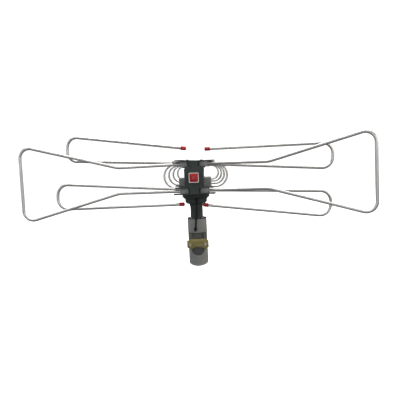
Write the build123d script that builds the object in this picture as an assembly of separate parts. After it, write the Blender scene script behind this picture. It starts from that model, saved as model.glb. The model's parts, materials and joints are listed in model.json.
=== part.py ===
from build123d import *
import math
import os

# Motor-turned outdoor television antenna. Millimetres, +Z up, +Y forward along the boom.
# The origin is on the mast socket's axis, at the socket's mouth.

# Mast base
SOCKET_R = 17.5
SOCKET_WALL = 8.75
BASE_TOP = 127.5
SOCKET_TOP = 91.0
BULKHEAD = 2.0
CAVITY_WALL = 3.25
MOUTH_CURVE_R = 59.0
WINDOW_SIDE_WALL = 2.75
WINDOW_BACK = -2.0
WINDOW_STEP_Z = 56.0
NOTCH_LEDGE = 0.5
NOTCH_Z = 46.0
RIB_GROOVES = 4
RIB_PITCH = 4.6
RIB_FIRST_Z = 5.5
RIB_WIDTH = 1.6
RIB_DEPTH = 0.9
BASE_SCREW_R = 1.5
BASE_SCREW_LENGTH = 12.0

# Mast clamp
BOLT_R = 2.5
BOLT_GAP = 0.3
BOLT_Z = 60.0
BOLT_FREE_END = 14.0
BOLT_CLEARANCE = 0.2
BOSS_GAP = 0.5
BOSS_HALF_HEIGHT = 9.0
BOLT_HEAD_R = 5.5
BOLT_HEAD = 3.0
JAW_SETBACK = 2.25
JAW_SHEET = 2.4
JAW_BOTTOM = 46.0
JAW_HEIGHT = 27.8
JAW_FACE_INSET = 1.65
JAW_WING = 4.9
JAW_STEP = 2.0
JAW_ARCH = 6.5
JAW_ARCH_HALF = 19.0
JAW_TONGUE = 10.0
JAW_TONGUE_INSET = 3.0
JAW_TONGUE_SHEET = 2.0
JAW_NOTCH_INSET = 2.5
WASHER_R = 6.0
WASHER = 1.2
NUT_FLATS = 9.0
NUT = 4.5

# Neck
FLANGE = 2.5
NECK_R = 17.0
NECK_WALL = 2.5
NECK_HEIGHT = 39.0
SPIGOT = 9.0
SPIGOT_WALL = 2.0
FIT_GAP = 0.15

# Motor housing, drive and cover
DRUM_R = 29.5
DRUM_WALL = 2.5
DRUM_SIDE = 12.0
FLARE_HEIGHT = 7.0
DRUM_EDGE = 5.0
RIM_R = 37.0
COVER_HEIGHT = 7.5
COVER_PLATE = 2.1
COVER_SCREW_R = 1.2
COVER_POST_R = 3.0
MOTOR_SIDE_GAP = 2.5
MOTOR_SCREW_X = 20.0
MOTOR_SCREW_R = 1.0
MOTOR_HEIGHT = 13.7
GEAR_PLATE = 1.5
CENTRE_PIN_R = 3.0
CENTRE_PIN = 4.0
SPINDLE_IN_TURRET = 10.0
MODULE = 0.8
GEAR_TEETH = 32
PINION_TEETH = 10
PRESSURE_ANGLE = 25.0
ADDENDUM = 0.7
DEDENDUM = 1.0
BACKLASH = 0.16
GEAR_WIDTH = 4.0
MOTOR_SHAFT_R = 2.0
SPINDLE_R = 6.0
BUSH_R = 9.0
RUNNING_GAP = 0.05
WASHER_GAP = 0.2
SEAL = 0.3

# Turret, amplifier and boom
TURRET_R = 20.0
TURRET_FOOT_R = 24.0
TURRET_FOOT = 3.0
TURRET_HEIGHT = 19.0
AMP_HEIGHT = 25.0
AMP_HALF = 44.0
AMP_FRONT = -15.0
AMP_BACK = 35.0
AMP_WALL = 2.0
AMP_EDGE = 4.0
BOARD = 1.6
BOARD_POST = 4.0
BOOM_OVER_AMP_FLOOR = 28.0
BOOM_SIDE = 25.0
BOOM_WALL = 1.5
BOOM_CORNER = 2.0
BOOM_FRONT = -103.0
BOOM_BACK = 325.0
BOOM_SCREW_R = 1.8
BOOM_SCREW_HEAD_R = 3.4
BOOM_SCREW_HEAD = 1.8
AMP_SCREW_Y = 10.0
PLUG_LIP = 2.0
PLUG_DEPTH = 14.0

# Element brackets
BRACKET_DEPTH = 26.0
BLOCK_HALF = 24.6
BLOCK_HEIGHT = 25.0
WAIST_HALF = 12.0
OUTER_PLATE_Z = 41.0
PLATE = 2.5
OUTER_PLATE_HALF = 54.0
UPPER_LIP_HALF = 28.0
LOWER_LIP_HALF = 50.0
FRONT_BRACKET_Y = -76.0
REAR_BRACKET_Y = -38.0
REAR_BRACKET_TURN = 3.95
PIVOT_X = 20.5
PIN_R = 2.5
PIN_HEAD_R = 4.2
PIN_HEAD = 1.5
PIN_DEPTH = 4.0

# Elements
TUBE_R = 4.0
TUBE_WALL = 1.0
LUG_R = 6.2
LUG_REACH = 17.0
LUG_SOCKET = 9.0
LOOP_PIN_Z = 34.5
LOOP_NECK_X = 174.0
LOOP_NECK_Z = 33.0
LOOP_OUTER_X = 424.7
LOOP_OUTER_Z = 100.0
LOOP_NECK_BEND = 60.0
LOOP_CORNER_BEND = 24.5
HAIRPIN_OUTER_X = 352.0
HAIRPIN_DROP = 3.6
HAIRPIN_RISE = 65.5
HAIRPIN_FREE_Z = 39.5
HAIRPIN_FREE_X = 6.0
HAIRPIN_BEND = 29.0
CAP_WALL = 1.2
CAP_LENGTH = 14.0
CAP_END = 2.0
# Fold angles at rest, in degrees towards the back of the boom
LOOP_FOLDS = {"left": -1.1, "right": -18.9}
HAIRPIN_FOLDS = {"upper_left": 13.4, "upper_right": 6.1, "lower_left": 3.8, "lower_right": 6.0}

# Oval rings on the boom: place along the boom, half width, half height
RINGS = [(55.0, 89.0, 33.0), (135.0, 82.6, 28.5), (215.0, 75.8, 25.0), (295.0, 67.5, 22.5)]
RING_R = 3.0
RING_GAP = 1.0
CARRIER_HALF = 8.0
CARRIER_DEPTH = 14.0
CARRIER_WALL = 4.0
CARRIER_LIP = 1.5

# Coaxial cable, from the port in the cover to the terminal in the base
CABLE_R = 2.4
CABLE_ROUTE = [
    (3.0, -43.8, 192.5), (2.8, -32.6, 174.5), (1.2, -32.0, 152.0), (-1.0, -30.6, 131.2),
    (-2.9, -31.2, 115.1), (-4.1, -28.4, 104.6), (-4.8, -21.8, 96.0),
]
PORT_HALF = 6.0
PORT_WALL = 5.7
BOOT_R = 3.15
BOOT_TIP_R = 2.9
BOOT_LENGTH = 7.0
GROMMET_R = 4.4
GROMMET_BORE_GAP = 0.2

# Sizes that follow from the ones above
BASE_R = SOCKET_R + SOCKET_WALL
CAVITY_R = BASE_R - CAVITY_WALL
WINDOW_HALF = BASE_R - WINDOW_SIDE_WALL
NOTCH_R = SOCKET_R + NOTCH_LEDGE
BASE_SCREW_CIRCLE = CAVITY_R - BASE_SCREW_R
FLANGE_TOP = BASE_TOP + FLANGE
BOLT_X = SOCKET_R + BOLT_R + BOLT_GAP
BOSS_BACK = math.sqrt(BASE_R ** 2 - (BOLT_X - BOLT_HEAD_R) ** 2) + BOSS_GAP
JAW_BACK_Y = JAW_SETBACK - BASE_R
JAW_FRONT_Y = JAW_BACK_Y - JAW_SHEET
JAW_FACE_HALF = BASE_R - JAW_FACE_INSET
JAW_HALF = JAW_FACE_HALF + JAW_WING
JAW_TONGUE_HALF = SOCKET_R - JAW_TONGUE_INSET
BOLT_END_Y = JAW_FRONT_Y - WASHER - NUT - BOLT_FREE_END
NECK_TOP = FLANGE_TOP + NECK_HEIGHT
DRUM_FLARE_Z = NECK_TOP + DRUM_SIDE
RIM_BOTTOM = DRUM_FLARE_Z + FLARE_HEIGHT
COVER_TOP = RIM_BOTTOM + COVER_HEIGHT
COVER_SCREW_CIRCLE = RIM_R - DRUM_WALL - COVER_POST_R - 0.5
MOTOR_R = DRUM_R - DRUM_WALL - MOTOR_SIDE_GAP
GEAR_PLATE_R = DRUM_R - COVER_POST_R
MOTOR_BOTTOM = NECK_TOP + DRUM_WALL
MOTOR_TOP = MOTOR_BOTTOM + MOTOR_HEIGHT
PLATE_TOP = MOTOR_TOP + GEAR_PLATE
GEAR_Z = PLATE_TOP + 2.2
CENTRE_DISTANCE = MODULE * (GEAR_TEETH + PINION_TEETH) / 2
TURRET_BOTTOM = COVER_TOP + SEAL + WASHER_GAP
AMP_BOTTOM = TURRET_BOTTOM + TURRET_HEIGHT
BOARD_Z = AMP_BOTTOM + AMP_WALL + BOARD_POST
BOOM_Z = AMP_BOTTOM + BOOM_OVER_AMP_FLOOR
CARRIER_SADDLE = BOOM_SIDE / 2 + CARRIER_WALL
CAP_R = TUBE_R + CAP_WALL
PORT_FRONT = CABLE_ROUTE[0][1] - PORT_WALL
BOOM_LOW = BOOM_Z - BOOM_SIDE / 2


def cylinder(radius, bottom, top, x=0.0, y=0.0):
    """Upright round bar between two heights."""
    return Pos(x, y, (bottom + top) / 2) * Cylinder(radius, top - bottom)


def block(x_range, y_range, z_range):
    """Box between three pairs of limits."""
    lows = (x_range[0], y_range[0], z_range[0])
    highs = (x_range[1], y_range[1], z_range[1])
    centre = [(low + high) / 2 for low, high in zip(lows, highs)]
    return Pos(*centre) * Box(*[high - low for low, high in zip(lows, highs)])


def bar_along_y(radius, start, end, x, z):
    """Round bar along the boom's direction."""
    return Pos(x, (start + end) / 2, z) * Rot(90, 0, 0) * Cylinder(radius, end - start)


def bar_between(start, end, start_radius, end_radius):
    """Straight round bar or cone from one point to another."""
    start, end = Vector(start), Vector(end)
    length = (end - start).length
    solid = Cylinder(start_radius, length)
    if start_radius != end_radius:
        solid = Cone(start_radius, end_radius, length)
    return Plane(origin=(start + end) / 2, z_dir=end - start) * solid


def ring_of(count, radius, start_angle):
    """Points evenly spaced round the mast axis."""
    angles = [math.radians(start_angle + 360 * step / count) for step in range(count)]
    return [(radius * math.cos(angle), radius * math.sin(angle)) for angle in angles]


def bent_tube(points, radii, outer, wall=None):
    """Tube or rod swept along straight runs with rounded corners."""
    path = FilletPolyline(*points, radius=radii)
    section = Circle(outer) if wall is None else Circle(outer) - Circle(outer - wall)
    return sweep(Plane(path @ 0, z_dir=path % 0) * section, path=path)


def screw(x, y, seat, length, shank, head, head_height=1.6):
    """Pan head screw that stands down from its seat."""
    return cylinder(shank, seat - length, seat, x, y) + cylinder(head, seat, seat + head_height, x, y)


def write(name, shape):
    """Write one node's STEP file."""
    export_step(shape, os.path.join("parts", name + ".step"))


def group(solids):
    """Several separate solids in one node."""
    return Compound(children=[solid for shape in solids for solid in shape.solids()])


# ---------------------------------------------------------------- base and mast clamp

def window_cutter():
    """Front window: wide above, narrowing to a round notch below."""
    sides = Polyline((-NOTCH_R, NOTCH_Z), (-WINDOW_HALF, WINDOW_STEP_Z), (-WINDOW_HALF, SOCKET_TOP),
                     (WINDOW_HALF, SOCKET_TOP), (WINDOW_HALF, WINDOW_STEP_Z), (NOTCH_R, NOTCH_Z))
    notch = ThreePointArc((NOTCH_R, NOTCH_Z), (0, NOTCH_Z - NOTCH_R), (-NOTCH_R, NOTCH_Z))
    outline = Plane(origin=(0, WINDOW_BACK, 0), x_dir=(1, 0, 0), z_dir=(0, -1, 0)) * make_face([sides, notch])
    return extrude(outline, BASE_R + 2 + WINDOW_BACK)


def base_housing():
    body = cylinder(BASE_R, 0, BASE_TOP)
    lower_part = block((-BASE_R, BASE_R), (-BASE_R, BASE_R), (0, MOUTH_CURVE_R))
    body -= lower_part - bar_along_y(MOUTH_CURVE_R, -BASE_R - 1, BASE_R + 1, 0, MOUTH_CURVE_R)
    for step in range(RIB_GROOVES):
        low = RIB_FIRST_Z + step * RIB_PITCH
        high = low + RIB_WIDTH
        body -= cylinder(BASE_R + 1, low, high) - cylinder(BASE_R - RIB_DEPTH, low, high)
    boss_half = BOLT_X + BOLT_HEAD_R
    boss_z = (BOLT_Z - BOSS_HALF_HEIGHT, BOLT_Z + BOSS_HALF_HEIGHT)
    body += block((-boss_half, boss_half), (0, BOSS_BACK), boss_z)
    body -= cylinder(SOCKET_R, -1, SOCKET_TOP)
    cavity = cylinder(CAVITY_R, SOCKET_TOP + BULKHEAD, BASE_TOP)
    for x, y in ring_of(4, BASE_SCREW_CIRCLE, 45):
        cavity -= cylinder(2 * BASE_SCREW_R, SOCKET_TOP, BASE_TOP, x, y)
    body -= cavity
    for x, y in ring_of(4, BASE_SCREW_CIRCLE, 45):
        body -= cylinder(BASE_SCREW_R, BASE_TOP - BASE_SCREW_LENGTH, BASE_TOP, x, y)
    body -= window_cutter()
    for x in (-BOLT_X, BOLT_X):
        body -= bar_along_y(BOLT_R + BOLT_CLEARANCE, -BASE_R, BOSS_BACK + 1, x, BOLT_Z)
    direction = (Vector(*CABLE_ROUTE[-1]) - Vector(*CABLE_ROUTE[-2])).normalized()
    wall_point = Vector(*CABLE_ROUTE[-1]) - direction * 4
    hole_start, hole_end = wall_point - direction * 7, wall_point + direction * 6
    return body - bar_between(hole_start, hole_end, GROMMET_R, GROMMET_R)


def clamp_bolts():
    bolts = []
    for x in (-BOLT_X, BOLT_X):
        shank = bar_along_y(BOLT_R, BOLT_END_Y, BOSS_BACK, x, BOLT_Z)
        bolts.append(shank + bar_along_y(BOLT_HEAD_R, BOSS_BACK, BOSS_BACK + BOLT_HEAD, x, BOLT_Z))
    return group(bolts)


def clamp_jaw():
    top = JAW_BOTTOM + JAW_HEIGHT
    face = block((-JAW_FACE_HALF, JAW_FACE_HALF), (JAW_FRONT_Y, JAW_BACK_Y), (JAW_BOTTOM, top))
    arch_r = (JAW_ARCH_HALF ** 2 + JAW_ARCH ** 2) / (2 * JAW_ARCH)
    face -= bar_along_y(arch_r, JAW_FRONT_Y - 1, JAW_BACK_Y + 1, 0, JAW_BOTTOM + JAW_ARCH - arch_r)
    for side in (-1, 1):
        step = sorted((side * (JAW_FACE_HALF - JAW_SHEET), side * JAW_FACE_HALF))
        wing = sorted((side * JAW_FACE_HALF, side * JAW_HALF))
        wing_z = (JAW_BOTTOM + 3, top - 4)
        face += block(step, (JAW_BACK_Y, JAW_BACK_Y + JAW_STEP), wing_z)
        face += block(step, (JAW_BACK_Y + JAW_STEP, JAW_BACK_Y + JAW_STEP + JAW_SHEET), wing_z)
        face += block(wing, (JAW_BACK_Y + JAW_STEP, JAW_BACK_Y + JAW_STEP + JAW_SHEET), wing_z)
        hole_r = BOLT_R + BOLT_CLEARANCE
        face -= bar_along_y(hole_r, JAW_FRONT_Y - 1, JAW_BACK_Y + JAW_TONGUE, side * BOLT_X, BOLT_Z)
    notch_half = JAW_TONGUE_HALF - JAW_NOTCH_INSET
    for low in (top - JAW_TONGUE_SHEET, JAW_BOTTOM + JAW_ARCH + 1):
        tongue = block((-JAW_TONGUE_HALF, JAW_TONGUE_HALF), (JAW_BACK_Y, JAW_BACK_Y + JAW_TONGUE),
                       (low, low + JAW_TONGUE_SHEET))
        notch = Polyline((0, JAW_BACK_Y + JAW_STEP), (notch_half, JAW_BACK_Y + JAW_TONGUE + 1),
                         (-notch_half, JAW_BACK_Y + JAW_TONGUE + 1), close=True)
        face += tongue - extrude(make_face(Plane.XY.offset(low) * notch), JAW_TONGUE_SHEET)
    return face


def clamp_nuts():
    nuts = []
    for x in (-BOLT_X, BOLT_X):
        seat = JAW_FRONT_Y - WASHER
        hexagon = RegularPolygon(NUT_FLATS / 2, 6, major_radius=False)
        blank = Plane((x, seat, BOLT_Z), z_dir=(0, -1, 0)) * extrude(hexagon, NUT)
        nuts.append(blank - bar_along_y(BOLT_R + RUNNING_GAP, seat - NUT - 1, seat + 1, x, BOLT_Z))
    return group(nuts)


def clamp_washers():
    washers = []
    for x in (-BOLT_X, BOLT_X):
        disc = bar_along_y(WASHER_R, JAW_FRONT_Y - WASHER, JAW_FRONT_Y, x, BOLT_Z)
        hole = bar_along_y(BOLT_R + BOLT_CLEARANCE, JAW_FRONT_Y - 2, JAW_FRONT_Y + 1, x, BOLT_Z)
        washers.append(disc - hole)
    return group(washers)


# ---------------------------------------------------------------- neck, motor housing and drive

def neck_tube():
    body = cylinder(BASE_R, BASE_TOP, FLANGE_TOP) + cylinder(NECK_R, FLANGE_TOP, NECK_TOP)
    body -= cylinder(NECK_R - NECK_WALL, BASE_TOP, NECK_TOP)
    for x, y in ring_of(4, BASE_SCREW_CIRCLE, 45):
        body -= cylinder(BASE_SCREW_R, BASE_TOP, FLANGE_TOP, x, y)
    for side in (-1, 1):
        hole = Pos(side * NECK_R, 0, NECK_TOP - SPIGOT / 2) * Rot(0, 90, 0) * Cylinder(BASE_SCREW_R, 10)
        body -= hole
    return body


def base_screws():
    places = ring_of(4, BASE_SCREW_CIRCLE, 45)
    return group([screw(x, y, FLANGE_TOP, BASE_SCREW_LENGTH + FLANGE, BASE_SCREW_R, 2.8) for x, y in places])


def neck_screws():
    screws = []
    inner = NECK_R - NECK_WALL - FIT_GAP - SPIGOT_WALL
    for side in (-1, 1):
        middle = side * (inner + NECK_R) / 2
        z = NECK_TOP - SPIGOT / 2
        shank = Pos(middle, 0, z) * Rot(0, 90, 0) * Cylinder(BASE_SCREW_R, NECK_R - inner)
        head = Pos(side * (NECK_R + 0.8), 0, z) * Rot(0, 90, 0) * Cylinder(2.8, 1.6)
        screws.append(shank + head)
    return group(screws)


def motor_housing():
    spigot_r = NECK_R - NECK_WALL - FIT_GAP
    inner_r = DRUM_R - DRUM_WALL
    profile = Polyline((0, NECK_TOP), (DRUM_R - DRUM_EDGE, NECK_TOP), (DRUM_R, NECK_TOP + DRUM_EDGE),
                       (DRUM_R, DRUM_FLARE_Z), (RIM_R, RIM_BOTTOM), (RIM_R - DRUM_WALL, RIM_BOTTOM),
                       (inner_r, DRUM_FLARE_Z + 0.2), (inner_r, MOTOR_BOTTOM), (0, MOTOR_BOTTOM), close=True)
    body = revolve(make_face(Plane.XZ * profile), Axis.Z)
    spigot = cylinder(spigot_r, NECK_TOP - SPIGOT, NECK_TOP)
    body += spigot - cylinder(spigot_r - SPIGOT_WALL, NECK_TOP - SPIGOT, NECK_TOP)
    cross = Pos(0, 0, NECK_TOP - SPIGOT / 2) * Rot(0, 90, 0) * Cylinder(BASE_SCREW_R, 4 * NECK_R)
    body -= cross
    for x, y in ring_of(4, COVER_SCREW_CIRCLE, 45):
        post = cylinder(COVER_POST_R, DRUM_FLARE_Z + 1, RIM_BOTTOM, x, y)
        body += post & cylinder(RIM_R - DRUM_WALL, DRUM_FLARE_Z, RIM_BOTTOM)
        body -= cylinder(COVER_SCREW_R, DRUM_FLARE_Z + 3, RIM_BOTTOM, x, y)
    return body


def cable_line(distance, start=0):
    """Point along one run of the cable's route."""
    first, second = Vector(*CABLE_ROUTE[start]), Vector(*CABLE_ROUTE[start + 1])
    return first + (second - first).normalized() * distance


def housing_cover():
    body = cylinder(RIM_R, RIM_BOTTOM, COVER_TOP)
    port = block((CABLE_ROUTE[0][0] - PORT_HALF, CABLE_ROUTE[0][0] + PORT_HALF), (PORT_FRONT, 0),
                 (RIM_BOTTOM, COVER_TOP))
    body += fillet(port.edges().filter_by(Axis.Z).group_by(Axis.Y)[0], 3.0)
    body -= cylinder(RIM_R - DRUM_WALL, RIM_BOTTOM, COVER_TOP - COVER_PLATE)
    for x, y in ring_of(4, COVER_SCREW_CIRCLE, 45):
        body += cylinder(COVER_POST_R, RIM_BOTTOM, COVER_TOP - COVER_PLATE, x, y)
        body -= cylinder(COVER_SCREW_R, RIM_BOTTOM, COVER_TOP, x, y)
    body -= cylinder(BUSH_R, RIM_BOTTOM, COVER_TOP)
    bore = CABLE_R + GROMMET_BORE_GAP
    return body - bar_between(CABLE_ROUTE[0], cable_line(20), bore, bore)


def cover_screws():
    places = ring_of(4, COVER_SCREW_CIRCLE, 45)
    depth = COVER_TOP - DRUM_FLARE_Z - 3
    return group([cylinder(COVER_SCREW_R, COVER_TOP - depth, COVER_TOP, x, y) for x, y in places])


def motor():
    can = cylinder(MOTOR_R, MOTOR_BOTTOM, MOTOR_TOP)
    can = chamfer(can.edges().filter_by(GeomType.CIRCLE), 0.8)
    for side in (-1, 1):
        can -= cylinder(MOTOR_SCREW_R, MOTOR_TOP - 4, MOTOR_TOP, side * MOTOR_SCREW_X, 0)
    return can - cylinder(MOTOR_SHAFT_R + RUNNING_GAP, MOTOR_TOP - 8, MOTOR_TOP, 0, CENTRE_DISTANCE)


def motor_screws():
    return group([screw(side * MOTOR_SCREW_X, 0, PLATE_TOP, GEAR_PLATE + 4, MOTOR_SCREW_R, 2.2, 1.2)
                  for side in (-1, 1)])


def gear_plate():
    plate = cylinder(GEAR_PLATE_R, MOTOR_TOP, PLATE_TOP)
    plate += cylinder(CENTRE_PIN_R, PLATE_TOP, PLATE_TOP + CENTRE_PIN)
    for side in (-1, 1):
        plate -= cylinder(MOTOR_SCREW_R, MOTOR_TOP, PLATE_TOP, side * MOTOR_SCREW_X, 0)
    return plate - cylinder(MOTOR_SHAFT_R + 0.5, MOTOR_TOP, PLATE_TOP, 0, CENTRE_DISTANCE)


def gear_blank(teeth, turn):
    """Involute stub-tooth gear, one tooth centred at the turn angle."""
    pitch_r = MODULE * teeth / 2
    base_r = pitch_r * math.cos(math.radians(PRESSURE_ANGLE))
    tip_r = pitch_r + ADDENDUM * MODULE
    root_r = pitch_r - DEDENDUM * MODULE

    def involute(radius):
        angle = math.acos(min(1.0, base_r / radius))
        return math.tan(angle) - angle

    half_pitch = (math.pi * MODULE / 2 - BACKLASH) / (2 * pitch_r)
    start_r = max(base_r, root_r)
    flank = [start_r + (tip_r - start_r) * step / 3 for step in range(4)]
    half = [half_pitch + involute(pitch_r) - involute(radius) for radius in flank]
    outline = []
    for tooth in range(teeth):
        centre = math.radians(turn) + 2 * math.pi * tooth / teeth
        rising = [(root_r, centre - half[0])] + [(r, centre - h) for r, h in zip(flank, half)]
        falling = [(r, centre + h) for r, h in reversed(list(zip(flank, half)))]
        falling.append((root_r, centre + half[0]))
        for radius, angle in rising + falling:
            point = (radius * math.cos(angle), radius * math.sin(angle))
            if not outline or math.dist(point, outline[-1]) > 1e-4:
                outline.append(point)
    return extrude(make_face(Polyline(*outline, close=True)), GEAR_WIDTH)


def output_gear():
    gear = Pos(0, 0, GEAR_Z) * gear_blank(GEAR_TEETH, 90)
    return gear - cylinder(SPINDLE_R, GEAR_Z, GEAR_Z + GEAR_WIDTH)


def motor_pinion():
    gear = Pos(0, CENTRE_DISTANCE, GEAR_Z) * gear_blank(PINION_TEETH, 270 + 180 / PINION_TEETH)
    return gear - cylinder(MOTOR_SHAFT_R, GEAR_Z, GEAR_Z + GEAR_WIDTH, 0, CENTRE_DISTANCE)


def spindle():
    shaft = cylinder(SPINDLE_R, PLATE_TOP + SEAL, TURRET_BOTTOM + SPINDLE_IN_TURRET)
    return shaft - cylinder(CENTRE_PIN_R + RUNNING_GAP, PLATE_TOP, PLATE_TOP + CENTRE_PIN + 1)


def spindle_bush():
    bush = cylinder(BUSH_R, COVER_TOP - COVER_PLATE, COVER_TOP)
    return bush - cylinder(SPINDLE_R + RUNNING_GAP, COVER_TOP - COVER_PLATE, COVER_TOP)


def thrust_washer():
    return cylinder(TURRET_R, COVER_TOP, COVER_TOP + SEAL) - cylinder(BUSH_R, COVER_TOP, COVER_TOP + SEAL)


# ---------------------------------------------------------------- cable

def cable_radii():
    """Each corner's arc is as large as its two runs allow."""
    route = [Vector(*point) for point in CABLE_ROUTE]
    radii = []
    for before, corner, after in zip(route, route[1:], route[2:]):
        shorter = min((corner - before).length, (after - corner).length)
        turn = math.radians((corner - before).get_angle(after - corner))
        radii.append(0.45 * shorter / math.tan(turn / 2))
    return radii


def antenna_cable():
    radii = cable_radii()
    cable = bent_tube(CABLE_ROUTE, radii, CABLE_R)
    path = FilletPolyline(*CABLE_ROUTE, radius=radii)
    print("cable radii", [round(radius, 1) for radius in radii], "length", round(path.length, 1),
          "volume ratio", round(cable.volume / (math.pi * CABLE_R ** 2 * path.length), 4))
    return cable


def cable_boot():
    start, end = cable_line(6.4), cable_line(6.4 + BOOT_LENGTH)
    bore = CABLE_R + RUNNING_GAP
    body = bar_between(start, end, BOOT_R, BOOT_TIP_R) - bar_between(start, end, bore, bore)
    return body & block((-20, 20), (-60, 0), (100, RIM_BOTTOM))


def cable_grommet():
    last = len(CABLE_ROUTE) - 2
    run = (Vector(*CABLE_ROUTE[-1]) - Vector(*CABLE_ROUTE[-2])).length
    start, end = cable_line(run - 7.6, last), cable_line(run - 1.0, last)
    bore = CABLE_R + GROMMET_BORE_GAP
    return bar_between(start, end, GROMMET_R, GROMMET_R) - bar_between(start, end, bore, bore)


def junction_board():
    last = len(CABLE_ROUTE) - 2
    run = (Vector(*CABLE_ROUTE[-1]) - Vector(*CABLE_ROUTE[-2])).length
    floor = SOCKET_TOP + BULKHEAD
    terminal = bar_between(CABLE_ROUTE[-1], cable_line(run + 7.0, last), CABLE_R, CABLE_R)
    terminal &= block((-CAVITY_R, CAVITY_R), (-CAVITY_R, 0), (floor, BASE_TOP))
    terminal += block((-10, 0), (-18, -12), (floor, floor + 9))
    return terminal + block((-13, 13), (-12, -12 + BOARD), (floor, floor + 24))


# ---------------------------------------------------------------- turret, amplifier and boom

def turret():
    body = cylinder(TURRET_FOOT_R, TURRET_BOTTOM, TURRET_BOTTOM + TURRET_FOOT)
    body += cylinder(TURRET_R, TURRET_BOTTOM, AMP_BOTTOM)
    return body - cylinder(SPINDLE_R, TURRET_BOTTOM, TURRET_BOTTOM + SPINDLE_IN_TURRET)


def amplifier_case():
    top = AMP_BOTTOM + AMP_HEIGHT
    outer = block((-AMP_HALF, AMP_HALF), (AMP_FRONT, AMP_BACK), (AMP_BOTTOM + AMP_WALL, top))
    outer = fillet(outer.edges().filter_by(Axis.Z), AMP_EDGE)
    outer = fillet(outer.faces().sort_by(Axis.Z)[-1].edges(), AMP_WALL)
    inner = block((-AMP_HALF + AMP_WALL, AMP_HALF - AMP_WALL), (AMP_FRONT + AMP_WALL, AMP_BACK - AMP_WALL),
                  (AMP_BOTTOM + AMP_WALL, top - AMP_WALL))
    inner = fillet(inner.edges().filter_by(Axis.Z), AMP_EDGE - AMP_WALL)
    trough_half = BOOM_SIDE / 2 + AMP_WALL
    trough = block((-trough_half, trough_half), (AMP_FRONT, AMP_BACK), (BOOM_LOW - AMP_WALL, top))
    slot = block((-BOOM_SIDE / 2, BOOM_SIDE / 2), (AMP_FRONT - 1, AMP_BACK + 1), (BOOM_LOW, top + 1))
    screw_hole = cylinder(BOOM_SCREW_R, BOOM_LOW - AMP_WALL, BOOM_LOW, 0, AMP_SCREW_Y)
    return outer - (inner - trough) - slot - screw_hole


def amplifier_floor():
    plate = block((-AMP_HALF, AMP_HALF), (AMP_FRONT, AMP_BACK), (AMP_BOTTOM, AMP_BOTTOM + AMP_WALL))
    return fillet(plate.edges().filter_by(Axis.Z), AMP_EDGE)


def amplifier_board():
    half = AMP_HALF - 6
    board = block((-half, half), (AMP_FRONT + 6, AMP_BACK - 6), (BOARD_Z, BOARD_Z + BOARD))
    for x in (-30, 30):
        for y in (AMP_FRONT + 9, AMP_BACK - 9):
            board += cylinder(2.0, AMP_BOTTOM + AMP_WALL, BOARD_Z, x, y)
    board += block((-34, -22), (2, 16), (BOARD_Z + BOARD, BOARD_Z + BOARD + 6))
    board += block((20, 32), (0, 12), (BOARD_Z + BOARD, BOARD_Z + BOARD + 4))
    return board


def boom_square(side, corner):
    """Rounded square section, for the boom and for what fits in or on it."""
    return RectangleRounded(side, side, corner)


def boom_tube():
    inner = BOOM_SIDE - 2 * BOOM_WALL
    section = boom_square(BOOM_SIDE, BOOM_CORNER) - boom_square(inner, BOOM_CORNER / 2)
    start = Plane(origin=(0, BOOM_FRONT, BOOM_Z), x_dir=(1, 0, 0), z_dir=(0, 1, 0))
    boom = extrude(start * section, BOOM_BACK - BOOM_FRONT)
    for shank in screw_shanks():
        boom -= shank
    return boom


def boom_plug(end, outward):
    """Square end plug with a pyramid face, its shank inside the boom."""
    inner = BOOM_SIDE - 2 * BOOM_WALL
    plane = Plane(origin=(0, end, BOOM_Z), x_dir=(1, 0, 0), z_dir=(0, outward, 0))
    shank = extrude(plane * boom_square(inner, BOOM_CORNER / 2), -PLUG_DEPTH)
    face = extrude(plane * boom_square(inner - 1, BOOM_CORNER / 2), PLUG_LIP, taper=25)
    hollow = Plane(origin=(0, end - outward * 3, BOOM_Z), x_dir=(1, 0, 0), z_dir=(0, outward, 0))
    return shank + face - extrude(hollow * boom_square(inner - 4, 0.5), -PLUG_DEPTH)


def bracket(turn):
    """Element bracket centred on the origin. Its hole lets it sit turned on the boom by this angle."""
    y_range = (-BRACKET_DEPTH / 2, BRACKET_DEPTH / 2)
    body = block((-BLOCK_HALF, BLOCK_HALF), y_range, (-BLOCK_HEIGHT, BLOCK_HEIGHT))
    body = fillet(body.edges().filter_by(Axis.Y), 4.0)
    body += block((-WAIST_HALF, WAIST_HALF), y_range, (-OUTER_PLATE_Z, OUTER_PLATE_Z))
    plates = [
        (OUTER_PLATE_HALF, OUTER_PLATE_Z, OUTER_PLATE_Z + PLATE),
        (UPPER_LIP_HALF, BLOCK_HEIGHT, BLOCK_HEIGHT + PLATE),
        (LOWER_LIP_HALF, -BLOCK_HEIGHT - PLATE, -BLOCK_HEIGHT),
        (OUTER_PLATE_HALF, -OUTER_PLATE_Z - PLATE, -OUTER_PLATE_Z),
    ]
    for half, low, high in plates:
        plate = block((-half, half), y_range, (low, high))
        body += fillet(plate.edges().filter_by(Axis.Z), 3.0)
    for side in (-1, 1):
        for end in (-1, 1):
            z_range = sorted((end * (BLOCK_HEIGHT - PIN_DEPTH), end * (OUTER_PLATE_Z + PLATE)))
            body -= cylinder(PIN_R, z_range[0], z_range[1], side * PIVOT_X, 0)
    turn = math.radians(turn)
    corner_centre = BOOM_SIDE / 2 - BOOM_CORNER
    side = 2 * (corner_centre * (math.cos(turn) + math.sin(turn)) + BOOM_CORNER)
    hole = Plane(origin=(0, -BRACKET_DEPTH, 0), x_dir=(1, 0, 0), z_dir=(0, 1, 0))
    body -= extrude(hole * boom_square(side, BOOM_CORNER), 2 * BRACKET_DEPTH)
    return body - side_bar(BOOM_SCREW_R, 0, BLOCK_HALF)


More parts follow.
